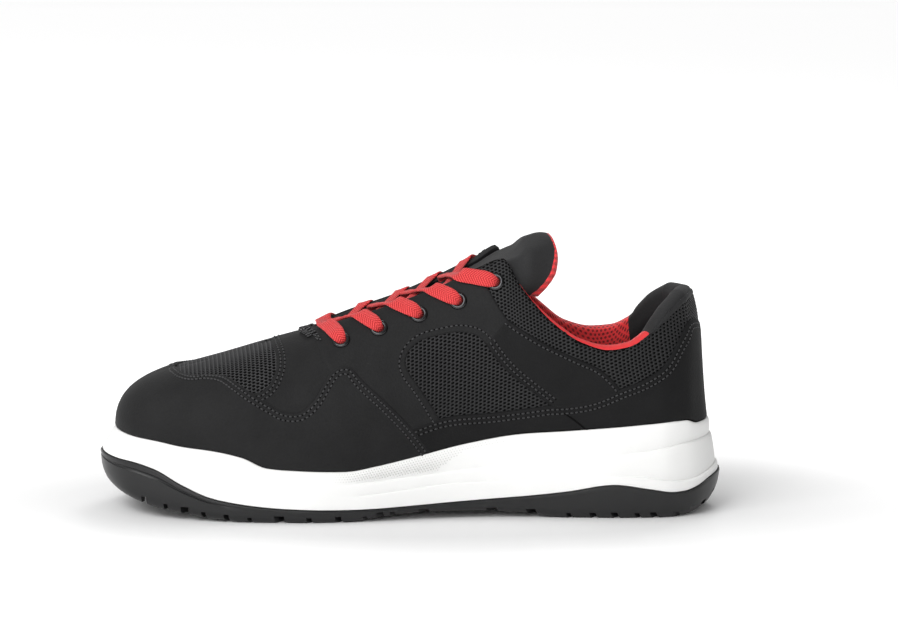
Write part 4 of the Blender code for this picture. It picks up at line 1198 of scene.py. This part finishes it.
lugs = table(
    "s width deep",
    (20.3, 3.0, 3.4), (30.5, 2.6, 3.0), (39.5, 4.8, 3.6), (48.3, 2.6, 2.8), (59, 3.0, 3.2), (70, 2.4, 2.6),
    (84, 5.4, 3.6), (98, 2.8, 2.8), (112, 3.0, 3.2), (124.6, 2.2, 2.2), (132, 3.4, 3.0), (138, 2.4, 2.2),
    (153, 5.0, 2.0), (186, 5.5, 2.0), (205, 5.5, 2.6), (223, 2.6, 2.6), (234.5, 3.6, 2.8), (245, 3.6, 3.0),
    (256, 2.6, 2.8), (264, 3.4, 3.0), (275, 2.6, 2.6), (285, 2.8, 3.2), (292, 3.0, 3.4),
)
lugShape = {
    "sweep": 9.0, "sweepFull": 40.0, "slant": 6.5, "slantFull": 60.0, "slantRun": 9.0, "past": 12.0,
    "floor": -6.0, "flareLow": 1.25, "flareTop": 0.85,
}
# side of the rubber: inset, more at the toe, more at both ends, share of the way down to the tread
rubberSide = table(
    "inset toe ends down",
    (0.05, 0, 0, 0.15), (0.1, 0.6, 0, 0.18), (0.15, 0.6, 0, 0.21), (0.2, 0.05, 0, 0.25), (0.4, 0, 0, 0.4),
    (0.7, 0, 0, 0.6), (1.0, 0, 0.5, 0.8), (1.9, 0, 0.9, 0.93), (3.2, 0, 1.6, 1),
)
rubberLip = table("inset rise", (0.5, -0.12), (0.1, -0.4), (0.0, -0.9))


def makeLugCutter():
    cutters = []
    for s, width, deep in zip(*lugs.values()):
        low, high = edgeOf[-1](s), edgeOf[1](s)
        hook = lugShape["slant"] * min(1.0, s / lugShape["slantFull"])
        sweep = lugShape["sweep"] * min(1.0, s / lugShape["sweepFull"])
        run = [
            (s - hook, low - lugShape["past"]), (s, low + 1), (s + hook, low + lugShape["slantRun"]),
            (s - sweep, (low + high) / 2),
            (s + hook, high - lugShape["slantRun"]), (s, high - 1), (s - hook, high + lugShape["past"]),
        ]
        lowHalf, topHalf = (width / 2 * lugShape[name] for name in ("flareLow", "flareTop"))
        corner = []
        for x, y in run:
            roof = treadZ(x) + deep
            corner += [(x - lowHalf, y, lugShape["floor"]), (x + lowHalf, y, lugShape["floor"])]
            corner += [(x + topHalf, y, roof), (x - topHalf, y, roof)]
        ends = [(3, 2, 1, 0), tuple(range(len(corner) - 4, len(corner)))]
        cutters.append(closeUp(newPiece("lugCutter", corner, tubeFaces(len(run), 4) + ends)))
    return joinAll(cutters)


def toeShare(s, fullTo=40, noneFrom=75):
    return 1 - float(smoothStep(s, fullTo, noneFrom))


def makeOutsole():
    loops = soleSeat(0.0)
    for inset, rise in zip(*rubberLip.values()):
        loops.append(ringAround(lambda s, n: inset, above(joinZ, rise)))
    for inset, toe, ends, down in zip(*rubberSide.values()):
        insetOf = lambda s, n: inset + toe * toeShare(s) + ends * endShare(n)
        loops.append(ringAround(insetOf, between(joinZ, treadZ, down)))
    piece = cappedLoft("outsoleRubber", loops, "rubber", (coreZ, 6), (treadZ, 14), 50)
    cutAway(piece, makeLugCutter(), use_self=True)
    return closeUp(piece, 35)


place(makeOutsole(), "outsole_rubber", "outsole")

insoleStations = 110
insoleEdge = table("inset rise", (0, 0), (0, 3.0), (0.4, 3.7), (1.3, 4.0))


def makeInsole():
    rim = wall["thick"] + 2 * gap
    loops = []
    for inset, rise in zip(*insoleEdge.values()):
        heightOf = above(bedZ, gap + rise)
        loops.append(ringAround(lambda s, n: upperInset(n) + rim + inset, heightOf, insoleStations))
    piece = cappedLoft("insoleBed", loops, "insole", (above(bedZ, gap), 8), (heightOf, 10), 50)
    setUv(piece, [v.co.xy for v in piece.data.vertices])
    return piece


place(makeInsole(), "insole_textile", "insole")

# Tongue: a padded form, black outside and red lined

tongue = {
    "thick": 5.0, "clearance": 1.6, "from": 86.0, "until": 192.0, "firstShare": 5 / 7, "bridge": 7,
    "columns": 28, "edgePower": 5.0, "endRows": 28, "redRows": 6, "redTop": 1.6, "redSide": 4.8,
    "redPower": 1.5, "pull": 1.25, "rollAhead": 0.85, "rollDown": 0.6, "rollSide": 0.15, "smoothing": 3,
    "thinEdge": 0.02, "thinEnd": 0.05, "endTaper": 4.0,
    "head": 3.1, "headFrom": 197.0, "headTo": 204.0, "liningStep": 2.2,
}
# free end of the tongue, from its middle (share 0) to its corners
tongueRim = table(
    "share s half z",
    (0, 214, 0, 129.8), (0.3, 216.2, 6, 128), (0.55, 217.8, 10.5, 124), (0.75, 216.8, 14, 117),
    (0.9, 212.8, 16.3, 110.2), (1, 208, 17.3, 104.8),
)


def smoothRows(rows, rounds):
    rows = np.array(rows, float)
    for _ in range(rounds):
        rows[1:-1] = (rows[:-2] + 2 * rows[1:-1] + rows[2:]) / 4
    return rows


# cross rows of the tongue: under the throat, then on to its free end
def tongueRows():
    sunk = points - normals * (shellThickness()[..., None] + tongue["clearance"])
    first = int(np.searchsorted(heights, tongue["firstShare"]))
    share = np.linspace(0, 1, tongue["bridge"] + 2)[1:-1, None]
    rows = []
    for i, s in enumerate(stations):
        if tongue["from"] < upperAt["topS"](s) < tongue["until"]:
            near, far = sunk[:, i, first:]
            bridge = near[-1] + (far[-1] - near[-1]) * share
            run = [*near, *bridge, *far[::-1]] if upperAt["halfGap"](s) > 1 else [*near[:-1], *far[::-1]]
            at = runLength(run)
            rows.append(readAt(np.linspace(0, at[-1], tongue["columns"] + 1), at, run))
    last = rows[-1]
    flow = unit(last - rows[-4]) * tongue["pull"]
    spread = np.linspace(-1, 1, tongue["columns"] + 1)
    away = np.abs(spread)
    rimAt = {name: column(tongueRim, name, "share") for name in ("s", "half", "z")}
    rim = {name: np.array([at(c) for c in away]) for name, at in rimAt.items()}
    middleY = np.array([ridgeY(s) for s in rim["s"]])
    end = np.stack([rim["s"], middleY + np.sign(spread) * rim["half"], rim["z"]], axis=1)
    reach = np.linalg.norm(end - last, axis=1, keepdims=True)
    down = tongue["rollSide"] - tongue["rollDown"] * (1 - away)
    roll = np.stack([np.full(len(spread), tongue["rollAhead"]), 0 * spread, down], axis=1)
    redWide = tongue["redTop"] + (tongue["redSide"] - tongue["redTop"]) * away ** tongue["redPower"]
    edgeAt = 1 - redWide / reach[:, 0]
    plain = tongue["endRows"] - tongue["redRows"]
    step = np.arange(1, tongue["endRows"] + 1)[:, None]
    redShare = 1 - (tongue["endRows"] - step) / tongue["redRows"] * (1 - edgeAt)
    t = np.where(step <= plain, step / plain * edgeAt, redShare)[..., None]
    return smoothRows([*rows, *cubic(t, reach, last, end, flow, roll)], tongue["smoothing"])


def makeTongue():
    rows = tongueRows()
    columns, order = tongue["columns"], np.arange(len(rows))
    normal = np.cross(np.gradient(rows, axis=0), np.gradient(rows, axis=1))
    normal = unit(normal * np.sign(normal[len(rows) // 2, columns // 2, 2]))
    spread = np.abs(np.linspace(-1, 1, columns + 1))
    body = np.sqrt(np.maximum(1 - spread ** tongue["edgePower"], 0))
    ends = np.minimum(order, order[::-1]) / tongue["endTaper"]
    taper = np.sqrt(np.clip(ends + tongue["thinEnd"], 0, 1))
    body = np.maximum(body, tongue["thinEdge"]) * taper[:, None]
    puff = tongue["head"] * smoothStep(rows[..., 0], tongue["headFrom"], tongue["headTo"])
    half = tongue["thick"] / 2
    middle = rows - normal * half
    top = middle + normal * (half * body + puff * body * (1 - spread**2))[..., None]
    bottom = middle - normal * (half * body)[..., None]
    rings = np.concatenate([top, bottom[:, ::-1]], axis=1)
    total, count = rings.shape[:2]
    redFrom = total - 1 - tongue["redRows"]
    faces = tubeFaces(total, count)
    kinds = [0 if k < columns and r < redFrom else 1 for r in range(total - 1) for k in range(count)]
    for r in (0, total - 1):
        for k in range(columns):
            across = (k, k + 1, count - 2 - k, count - 1 - k)
            faces.append(tuple(r * count + n for n in across))
            kinds.append(1 if r else 0)
    piece = newPiece("tonguePad", rings.reshape(-1, 3), faces, finishes["padding"], finishes["lining"])
    piece.data.polygons.foreach_set("material_index", kinds)
    r, k = np.divmod(np.arange(total * count), count)
    setUv(piece, np.stack([r, np.minimum(k, count - k)], axis=1) * tongue["liningStep"] * mm)
    return closeUp(piece, 70)


tonguePad = place(makeTongue(), "microfibre", "tongue")

# Eyelet rings: one turned ring, copied to each hole

ringShape = {"sides": 32, "lift": 0.15}
ringProfile = table(
    "radius height",
    (2.75, -2.3), (2.35, -2.2), (2.35, 0.35), (2.5, 0.62), (2.85, 0.82), (3.3, 0.86), (3.75, 0.74),
    (4.1, 0.45), (4.3, 0.05), (4.25, -0.12), (2.75, -0.15),
)


def makeRing():
    radii, levels = ringProfile["radius"], ringProfile["height"]
    bpy.ops.mesh.primitive_circle_add(vertices=ringShape["sides"], radius=radii[0] * mm, location=(0, 0, 0))
    ring = bpy.context.object
    startEdit(ring)
    bpy.ops.transform.translate(value=(0, 0, levels[0] * mm))
    for k in range(1, len(radii)):
        rise = (levels[k] - levels[k - 1]) * mm
        bpy.ops.mesh.extrude_region_move(TRANSFORM_OT_translate={"value": (0, 0, rise)})
        size = radii[k] / radii[k - 1]
        bpy.ops.transform.resize(value=(size, size, 1), center_override=(0, 0, 0))
    bpy.ops.mesh.select_all(action="DESELECT")
    bpy.ops.mesh.select_non_manifold()
    bpy.ops.mesh.bridge_edge_loops()
    endEdit()
    ring.data.materials.append(finishes["metal"])
    return closeUp(ring, 45)


ring = makeRing()
for (index, k), (spot, normal) in eyeletSpots.items():
    copy = bpy.data.objects.new("eyeletRing%s%d" % (sideNames[index], k + 1), ring.data.copy())
    bpy.context.scene.collection.objects.link(copy)
    middle = Vector(toFrame([spot + normal * (eyeletSeat(k) + ringShape["lift"])])[0])
    turnTo = Vector(normal).to_track_quat("Z", "Y").to_matrix().to_4x4()
    copy.data.transform(Matrix.Translation(middle) @ turnTo)
    place(copy, "eyelet_metal", "eyelet_%s_%d" % (sideNames[index].lower(), k + 1))
bpy.data.objects.remove(ring)

# Lace: flat ribbons through the eyelets, drawn tight over what lies under them

lace = {
    "width": 7.8, "thick": (1.7, 1.2), "atHole": 4.8, "thickAtHole": 2.4, "clear": 0.2, "spare": 1.3,
    "lift": (0.7, -0.7), "liftFrom": 4.5, "liftTo": 10.5, "crossed": (6.4, 4.0), "start": 5.0, "short": 8.0,
    "barLead": 6.3, "step": 1.2, "overRing": 0.7, "ringFrom": 4.5, "ringTo": 8.5, "riseSteps": 24,
    "probes": (1.0, 0.55, 0.1),
}
# cross-section and smoothing of the ribbon
ribbon = {"sides": 14, "step": 0.9, "widePower": 0.45, "thickPower": 0.8, "path": 7, "across": 9, "size": 5}
# how far each crossing runs to the toe before it leaves the eyestay, and where it dives past the next eyelet
crossings = table(
    "lead dive farLead farDive", (8.7, 0.8, 4, 0.5), (11, 0.8, 5, 0), (11.8, -2, 8, -4.5), (16, -3.4, 9.6, -4)
)
# a crossing's hidden end: reach and drop past the throat's edge, then its place under the next eyelet
tailEnd = {"reach": 6.0, "drop": 0.6, "sag": 0.4, "below": 1.6, "back": 2.0, "inward": 3.0}
# the way out of an eyelet: height above the seat, way forward, share of the full width
holeStops = table(
    "rise ahead share",
    (-4.5, -0.6, 0), (-1.5, -0.4, 0), (0.3, 0, 0.1), (1.3, 0.9, 0.5), (1.8, 2.3, 0.8), (1.95, 3.8, 0.95),
)


def treeOf(pieces):
    spots, faces = [], []
    for piece in pieces:
        first = len(spots)
        spots += [v.co.copy() for v in piece.data.vertices]
        faces += [[first + k for k in f.vertices] for f in piece.data.polygons]
    return BVHTree.FromPolygons(spots, faces)


underLace = treeOf([
    piece for piece in bpy.data.objects
    if piece.name.startswith(("upperShell", "eyestayPanel", "saddlePanel", "tonguePad", "eyeletRing"))
])


def heightAt(x, y):
    start = Vector(toFrame([(x, y, length)])[0])
    hit = underLace.ray_cast(start, Vector((0, 0, -1)))[0]
    return -1e9 if hit is None else hit.z / mm


# heights pulled straight over the high places of a run
def taut(run):
    out = np.array(run)
    for a in range(len(run)):
        for b in range(a + 2, len(run)):
            line = np.linspace(run[a], run[b], b - a + 1)
            out[a : b + 1] = np.maximum(out[a : b + 1], line)
    return out


throatBases = np.arange(90, 196, 1.0)
throatS, throatHalf = ([upperAt[name](base) for base in throatBases] for name in ("topS", "halfGap"))


# half the width of the throat and its middle line
def throatAt(s):
    return float(np.interp(s, throatS, throatHalf)), ridgeY(s)


# centre line and way across of one ribbon drawn over the shoe
def drawnSpan(plan, thick):
    across = leftOf(unit(np.gradient(plan, axis=0)))
    rails = []
    for way in (-1, 1):
        reach = across * way * lace["width"] / 2
        run = [max(heightAt(*(p + q * part)) for part in lace["probes"]) for p, q in zip(plan, reach)]
        rails.append(np.column_stack([plan + reach, taut(run) + lace["spare"] * (lace["clear"] + thick / 2)]))
    return (rails[0] + rails[1]) / 2, unit(rails[1] - rails[0])


# out of an eyelet, over its ring and up the eyestay to the edge of the throat
def risingRun(index, k, lead, thick):
    spot, normal = eyeletSpots[index, k]
    begin = reflat("side", index, [eyeletPairs[k]])[0]
    edge = borderRun("side", index, -1, begin[0] - lead, begin[0])[0]
    flat = begin + (edge - begin) * np.linspace(0, 1, lace["riseSteps"])[:, None]
    where, up = lift(charts["side", index], flat)
    far = np.linalg.norm(where - spot, axis=1)
    over = far > lace["start"]
    overRing = lace["overRing"] * (1 - smoothStep(far, lace["ringFrom"], lace["ringTo"]))
    rise = layer["eyestay"] + lace["clear"] + thick / 2 + overRing
    flank = (where + up * rise[:, None])[over]
    across = np.cross(np.gradient(flank, axis=0), up[over])
    toward = flank[1] - spot
    toward = unit(toward - normal * (toward @ normal))
    head = [
        spot + normal * (rise + (eyeletSeat(k) if rise > 0 else 0)) + toward * ahead
        for rise, ahead in zip(holeStops["rise"], holeStops["ahead"])
    ]
    across = unit(np.concatenate([[np.cross(toward, normal)] * len(head), across]))
    return np.concatenate([head, flank]), across, np.concatenate([holeStops["share"], np.ones(len(flank))])


def ribbonMesh(name, path, across, width, thick):
    at = runLength(path)
    where = np.linspace(0, at[-1], int(at[-1] / ribbon["step"]))
    path = smoothRows(readAt(where, at, path), ribbon["path"])
    across = smoothRows(readAt(where, at, across), ribbon["across"])
    wideHalf, thickHalf = (
        smoothRows(np.interp(where, at, size), ribbon["size"]) / 2 for size in (width, thick)
    )
    along = unit(np.gradient(path, axis=0))
    across = unit(across - along * (across * along).sum(axis=1, keepdims=True))
    up = np.cross(along, across)
    count, total = ribbon["sides"], len(path)
    angles = np.linspace(0, 2 * math.pi, count, endpoint=False)
    c, s = np.cos(angles), np.sin(angles)
    wide = wideHalf[:, None] * (np.sign(c) * np.abs(c) ** ribbon["widePower"])
    high = thickHalf[:, None] * (np.sign(s) * np.abs(s) ** ribbon["thickPower"])
    rings = path[:, None] + across[:, None] * wide[..., None] + up[:, None] * high[..., None]
    ends = [tuple(range(count))[::-1], tuple((total - 1) * count + k for k in range(count))]
    piece = newPiece(name, rings.reshape(-1, 3), tubeFaces(total, count) + ends, finishes["lace"])
    setUv(piece, np.stack([np.repeat(where, count), wide.ravel()], axis=1) * mm)
    return closeUp(piece, 60)


def straightPlan(first, last):
    count = max(int(math.dist(first, last) / lace["step"]), 3)
    return np.linspace(first, last, count + 1)


def ribbonSizes(share, thick):
    wide = lace["atHole"] + (lace["width"] - lace["atHole"]) * share
    return wide, lace["thickAtHole"] + (thick - lace["thickAtHole"]) * share


# the same ways across, turned round where they start against another
def alike(ways, other):
    return ways if ways[0] @ other > 0 else -ways


def makeBar():
    thick = lace["thick"][0]
    nearPath, nearAcross, nearShare = risingRun(0, 0, lace["barLead"], thick)
    farPath, farAcross, farShare = risingRun(1, 0, lace["barLead"], thick)
    middle, across = drawnSpan(straightPlan(nearPath[-1][:2], farPath[-1][:2])[2:-2], thick)
    across = alike(across, nearAcross[-1])
    back = alike(farAcross[::-1], across[-1])
    path = np.concatenate([nearPath, middle, farPath[::-1]])
    share = np.concatenate([nearShare, np.ones(len(middle)), farShare[::-1]])
    return ribbonMesh("laceBar", path, np.concatenate([nearAcross, across, back]), *ribbonSizes(share, thick))


def makeArm(k, index):
    side, thick = sides[index], lace["thick"][index]
    lead, dive = (crossings[name][k - 1] for name in (("lead", "dive"), ("farLead", "farDive"))[index])
    nearPath, nearAcross, nearShare = risingRun(index, k, lead, thick)
    targetS = eyelets["s"][k - 1] + dive
    half, middleY = throatAt(targetS)
    plan = straightPlan(nearPath[-1][:2], (targetS, middleY - side * (half - lace["short"])))[2:]
    path, across = drawnSpan(plan, thick)
    reach = np.abs(plan[:, 1] - middleY)
    path[:, 2] += lace["lift"][index] * (1 - smoothStep(reach, lace["liftFrom"], lace["liftTo"]))
    ahead = unit(plan[-1] - plan[0]) * tailEnd["reach"]
    spot, normal = eyeletSpots[1 - index, k - 1]
    edge = path[-1] + np.array([*ahead, -tailEnd["drop"]])
    under = spot - normal * (wall["thick"] + tailEnd["below"])
    under = under + np.array([tailEnd["back"], side * tailEnd["inward"], 0])
    tail = [edge, (edge + under) / 2 - np.array([0, 0, tailEnd["sag"]]), under]
    across = alike(across, nearAcross[-1])
    ways = np.concatenate([nearAcross, across, [across[-1]] * len(tail)])
    rest = np.ones(len(path) + len(tail))
    wide, deep = ribbonSizes(nearShare, thick)
    wide = np.concatenate([wide, lace["crossed"][index] * rest])
    deep = np.concatenate([deep, thick * rest])
    return np.concatenate([nearPath, path, tail]), ways, wide, deep


place(makeBar(), "lace_textile", "lace_bar")
for k in range(1, len(eyelets["s"])):
    arms = [ribbonMesh("laceArm%d%s" % (k, sideNames[index]), *makeArm(k, index)) for index in (0, 1)]
    place(arms[0], "lace_textile", "lace_cross_%d" % k)
    place(arms[1], "lace_textile")

# Black fold round the heel's top edge

heelFold = {"from": 256.0, "to": 290.0, "deep": 2.4, "least": 0.3, "blend": 16.0}


def foldRuns(index):
    top = borderRun("heel", index, -1, heelFold["from"], heelFold["to"])
    lower = top.copy()
    reach = np.abs(top[:, 0] - top[0, 0])
    lower[:, 1] -= heelFold["deep"] * smoothStep(reach, 0, heelFold["blend"]) + heelFold["least"]
    return top, lower


(nearTop, nearLow), (farTop, farLow) = foldRuns(0), foldRuns(1)
addPanel("heelFold", charts["heel"], "fold", "padding", [nearTop, farTop[::-1], farLow, nearLow[::-1]])

# Stitching: one small bead, laid out in rows beside the seams as thread, and as dark beads between that paint
# the shade in the needle holes

# the hole size and the gap pitch set the dark beads that paint the shade in the needle holes and along the
# band's rear gap
thread = {
    "pitch": 2.3, "bead": (0.85, 0.42, 0.42), "sink": 0.02, "hole": (0.48, 0.46, 0.16), "gapShadePitch": 0.6,
    "ahead": 0.4,
}
# rows of thread: chart, seams, distances from the seam, layer, turned round on the outer side
seamThreads = [
    ("front", guardNames, (1.7, 3.8), "guard", True),
    ("heel", counterNames, (-2.0, -4.2), "counter", True),
    ("side", "bandTop", (-2.0, -4.2), "band", False),
    ("side", "windowLeft windowTop", (3.0,), "eyestay", False),
    ("side", "windowRight", (2.0, 4.0), "strap", False),
    ("side", "strapRear", (-2.0,), "strap", False),
    ("top", "meshRear", (-2.0, -4.0), "saddle", True),
]
# thick thread bars that hold the front of the throat: middle s, distance from the middle line, length, turn
tacks = table("s across long turn", (100.8, 8.4, 12.0, 66), (97.4, 7.2, 8.0, 66))
tackThread = {"wide": 2.6, "count": 14, "zigzag": 0.5, "rise": 0.3, "pitch": 1.3}


def oneBead(size):
    bpy.ops.mesh.primitive_uv_sphere_add(segments=6, ring_count=4, radius=1, location=(0, 0, 0))
    bead = bpy.context.object
    startEdit(bead)
    bpy.ops.transform.rotate(value=math.pi / 2, orient_axis="Y", center_override=(0, 0, 0))
    bpy.ops.transform.resize(value=size, center_override=(0, 0, 0))
    endEdit()
    spots = np.array([v.co for v in bead.data.vertices])
    faces = [tuple(f.vertices) for f in bead.data.polygons]
    bpy.data.objects.remove(bead)
    return spots, faces


def offsetRun(run, distance):
    return run + leftOf(unit(np.gradient(run, axis=0))) * distance


# places, ways along and normals of the stitches on one flat run
def stitchRow(chart, flat, height, pitch=thread["pitch"]):
    at = runLength(flat)
    count = int(at[-1] / pitch)
    where = (np.arange(count) + 0.5) * at[-1] / max(count, 1)
    spots, normal = lift(chart, readAt(where, at, flat))
    ahead, _ = lift(chart, readAt(np.minimum(where + thread["ahead"], at[-1]), at, flat))
    along = ahead - spots
    along /= np.maximum(np.linalg.norm(along, axis=1, keepdims=True), 1e-6)
    return list(zip(spots + normal * (height - thread["sink"]), along, normal))


def sewSeams():
    rows = []
    for index in (0, 1):
        for kind, names, distances, height, mirrored in seamThreads:
            chart = charts[kind] if kind in charts else charts[kind, index]
            run = seamRun(kind, index, names)
            way = -1 if mirrored and index else 1
            for distance in distances:
                rows += stitchRow(chart, offsetRun(run, distance * way), layer[height])
    return rows


def sewTacks():
    rows = []
    for side in sides:
        for s, across, long, turnBy in zip(*tacks.values()):
            angle = math.radians(turnBy)
            way = np.array([math.cos(angle), side * math.sin(angle)])
            lean = leftOf(way) * tackThread["wide"] / 2
            for n, share in enumerate(np.linspace(-0.5, 0.5, tackThread["count"])):
                spot = np.array([s, side * across]) + way * long * share
                zigzag = way * (tackThread["zigzag"] if n % 2 else -tackThread["zigzag"])
                height = layer["eyestay"] + tackThread["rise"] * (1 + n % 3)
                run = np.stack([spot - lean, spot + lean + zigzag])
                rows += stitchRow(charts["top"], run, height, tackThread["pitch"])
    return rows


def beadRows(name, rows, size, finish):
    bead, beadFaces = oneBead(size)
    spots, faces = [], []
    for middle, along, normal in rows:
        side = np.cross(normal, along)
        first = len(spots)
        spots += list(middle + bead @ np.stack([along, side, normal]))
        faces += [tuple(first + k for k in f) for f in beadFaces]
    piece = newPiece(name, spots, faces, finish)
    only(piece)
    bpy.ops.object.shade_smooth()
    return piece


seamRows = sewSeams()
# a dark bead between each pair of stitches: painted shade in the needle holes
shadeBeadRows = [(middle + along * thread["pitch"] / 2, along, normal) for middle, along, normal in seamRows]
# a close row of dark beads along the rear end of the band: painted shade in the gap there, with the dark cut
# edge
for index in (0, 1):
    gapShadeRun = onHeel[index]("bandEnd")
    gapShadeRun = gapShadeRun[len(gapShadeRun) // 3:]
    shadeBeadRows += stitchRow(charts["heel"], gapShadeRun, layer["counter"], thread["gapShadePitch"])
place(beadRows("stitching", seamRows + sewTacks(), thread["bead"], finishes["thread"]), "microfibre")
# the dark beads, in the backing black: painted shade
place(beadRows("needleHoles", shadeBeadRows, thread["hole"], finishes["backingAndShade"]), "microfibre")

# Small raised dots on the foam below the upper's edge, coloured grey as painted shade

dots = {
    "pitch": 1.3, "rowPitch": 0.87, "rows": 9, "radius": 0.36, "high": 0.3, "sides": 6, "smallest": 0.25,
    "below": 1.2, "seat": 0.1, "root": -0.25, "tilt": 0.12, "capWide": 0.8, "capHigh": 0.7, "weak": 0.65,
    "from": 106.0, "to": 192.0, "noneTo": 103.0, "fullFrom": 120.0, "taperFrom": 148.0, "taperTo": 178.0,
    "lineClear": (0.6, 2.2),
}


def makeDots():
    count = dots["sides"]
    turns = np.linspace(0, 2 * math.pi, count, endpoint=False)[:, None]
    spots, faces = [], []

    def addDot(s, side, row, fade):
        where, inward = edgePoint(s, side)
        z = lipZ(where[0]) - dots["below"] - row * dots["pitch"] * dots["rowPitch"]
        size = fade * float(smoothStep(z - lineHigh(where[0]), *dots["lineClear"]))
        if size < dots["smallest"]:
            return
        share = (z - joinZ(where[0])) / (lipZ(where[0]) - joinZ(where[0]))
        centre = np.array([*(where + inward * (wallInset(share, inward) + dots["seat"])), z])
        out = np.array([*-inward, dots["tilt"]])
        circle = np.cos(turns) * np.array([inward[1], -inward[0], 0]) + np.sin(turns) * np.array([0, 0, 1.0])
        radius = dots["radius"] * size
        first = len(spots)
        spots.extend(centre + radius * circle + out * dots["root"])
        spots.extend(centre + radius * dots["capWide"] * circle + out * dots["high"] * dots["capHigh"])
        spots.append(centre + out * dots["high"])
        made = tubeFaces(2, count) + [tuple(range(count))[::-1]]
        made += [(count + k, count + (k + 1) % count, 2 * count) for k in range(count)]
        faces.extend(tuple(first + k for k in face) for face in made)

    for side in sides:
        for s in np.arange(dots["from"], dots["to"], dots["pitch"]):
            taper = 1 - float(smoothStep(s, dots["taperFrom"], dots["taperTo"]))
            fade = float(smoothStep(s, dots["noneTo"], dots["fullFrom"]))
            fade *= dots["weak"] + (1 - dots["weak"]) * taper
            for row in range(2 + int(dots["rows"] * taper)):
                addDot(s + (row % 2) * dots["pitch"] / 2, side, row, fade)
    # the dots take the grey foam, painted shade
    return closeUp(newPiece("sideDots", spots, faces, finishes["foamDotShade"]), 60)


place(makeDots(), "midsole_foam")

# Floor, light and camera

studio = {
    "floor": 60.0, "floorShade": 0.93, "world": 0.62, "shadeSide": 0.28, "shadeFrom": -0.2, "aim": 0.06,
    "glow": 0.5, "glowFrom": 0.17, "glowTo": 0.42, "glowNarrow": 2.2,
}
# place, size and power of the lamps
lamps = {
    "keyLight": ((-0.9, -1.0, 1.2), (1.2, 0.8), 18.0),
    "fillLight": ((-0.5, -1.65, 0.55), (1.4, 0.7), 8.0),
    "backLight": ((0.45, 1.1, 1.5), (0.7, 0.5), 6.0),
}


# pale floor; far from the shoe it glows a little, so that the backdrop stays even
def makeFloor():
    bpy.ops.mesh.primitive_plane_add(size=studio["floor"], location=(0, 0, 0))
    floor = bpy.context.object
    floor.name = "studioFloor"
    pale = (studio["floorShade"],) * 3 + (1,)
    finish, tree, shader = newFinish("paleFloor", 0.6, Base_Color=pale, Emission_Strength=studio["glow"])
    where = addNode(tree, "ShaderNodeTexCoord").outputs["Object"]
    narrow = vectorMath(tree, "MULTIPLY", where, (1, studio["glowNarrow"], 1))
    fade = addNode(tree, "ShaderNodeMapRange", {
        "Value": vectorMath(tree, "LENGTH", narrow, output="Value"),
        "From Min": studio["glowFrom"], "From Max": studio["glowTo"],
    })
    feed(tree, shader.inputs["Emission Color"], fade.outputs["Result"])
    floor.data.materials.append(finish)


# soft white room, dimmer on the heel's side
def makeRoom():
    world = bpy.data.worlds.new("studioWorld")
    world.use_nodes = True
    tree = world.node_tree
    room = tree.nodes["Background"]
    room.inputs["Color"].default_value = (1, 1, 1, 1)
    where = addNode(tree, "ShaderNodeTexCoord").outputs["Generated"]
    split = addNode(tree, "ShaderNodeSeparateXYZ", {0: where})
    fall = addNode(tree, "ShaderNodeMapRange", {
        "Value": split.outputs["X"], "From Min": studio["shadeFrom"], "From Max": 1.0,
        "To Min": studio["world"], "To Max": studio["world"] * studio["shadeSide"],
    })
    feed(tree, room.inputs["Strength"], fall.outputs["Result"])
    bpy.context.scene.world = world


def addLight(name, where, size, power):
    bpy.ops.object.light_add(type="AREA", location=where)
    light = bpy.context.object
    light.name = name
    light.data.shape = "RECTANGLE"
    light.data.size, light.data.size_y = size
    light.data.energy = power
    light.rotation_euler = (Vector((0, 0, studio["aim"])) - Vector(where)).to_track_quat("-Z", "Y").to_euler()


makeFloor()
makeRoom()
for name, setting in lamps.items():
    addLight(name, *setting)

view = {
    "place": (-0.147899, -1.561046, 0.33816),
    "azimuth": -6.0, "elevation": 9.0, "roll": 1.45, "lens": 131.628, "sensor": 36.0,
}
bpy.ops.object.camera_add(location=view["place"])
camera = bpy.context.object
camera.name = "photoCamera"
camera.data.lens, camera.data.sensor_width = view["lens"], view["sensor"]
azimuth, elevation = math.radians(view["azimuth"]), math.radians(view["elevation"])
rightward = Vector((math.cos(azimuth), math.sin(azimuth), 0))
outward = Vector((math.sin(azimuth), -math.cos(azimuth), 0))
facing = outward * math.cos(elevation) + Vector((0, 0, math.sin(elevation)))
turned = Matrix((rightward, facing.cross(rightward), facing)).transposed()
camera.rotation_euler = (turned @ Matrix.Rotation(math.radians(view["roll"]), 3, "Z")).to_euler()
bpy.context.scene.camera = camera
bpy.context.scene.view_settings.view_transform = "Standard"
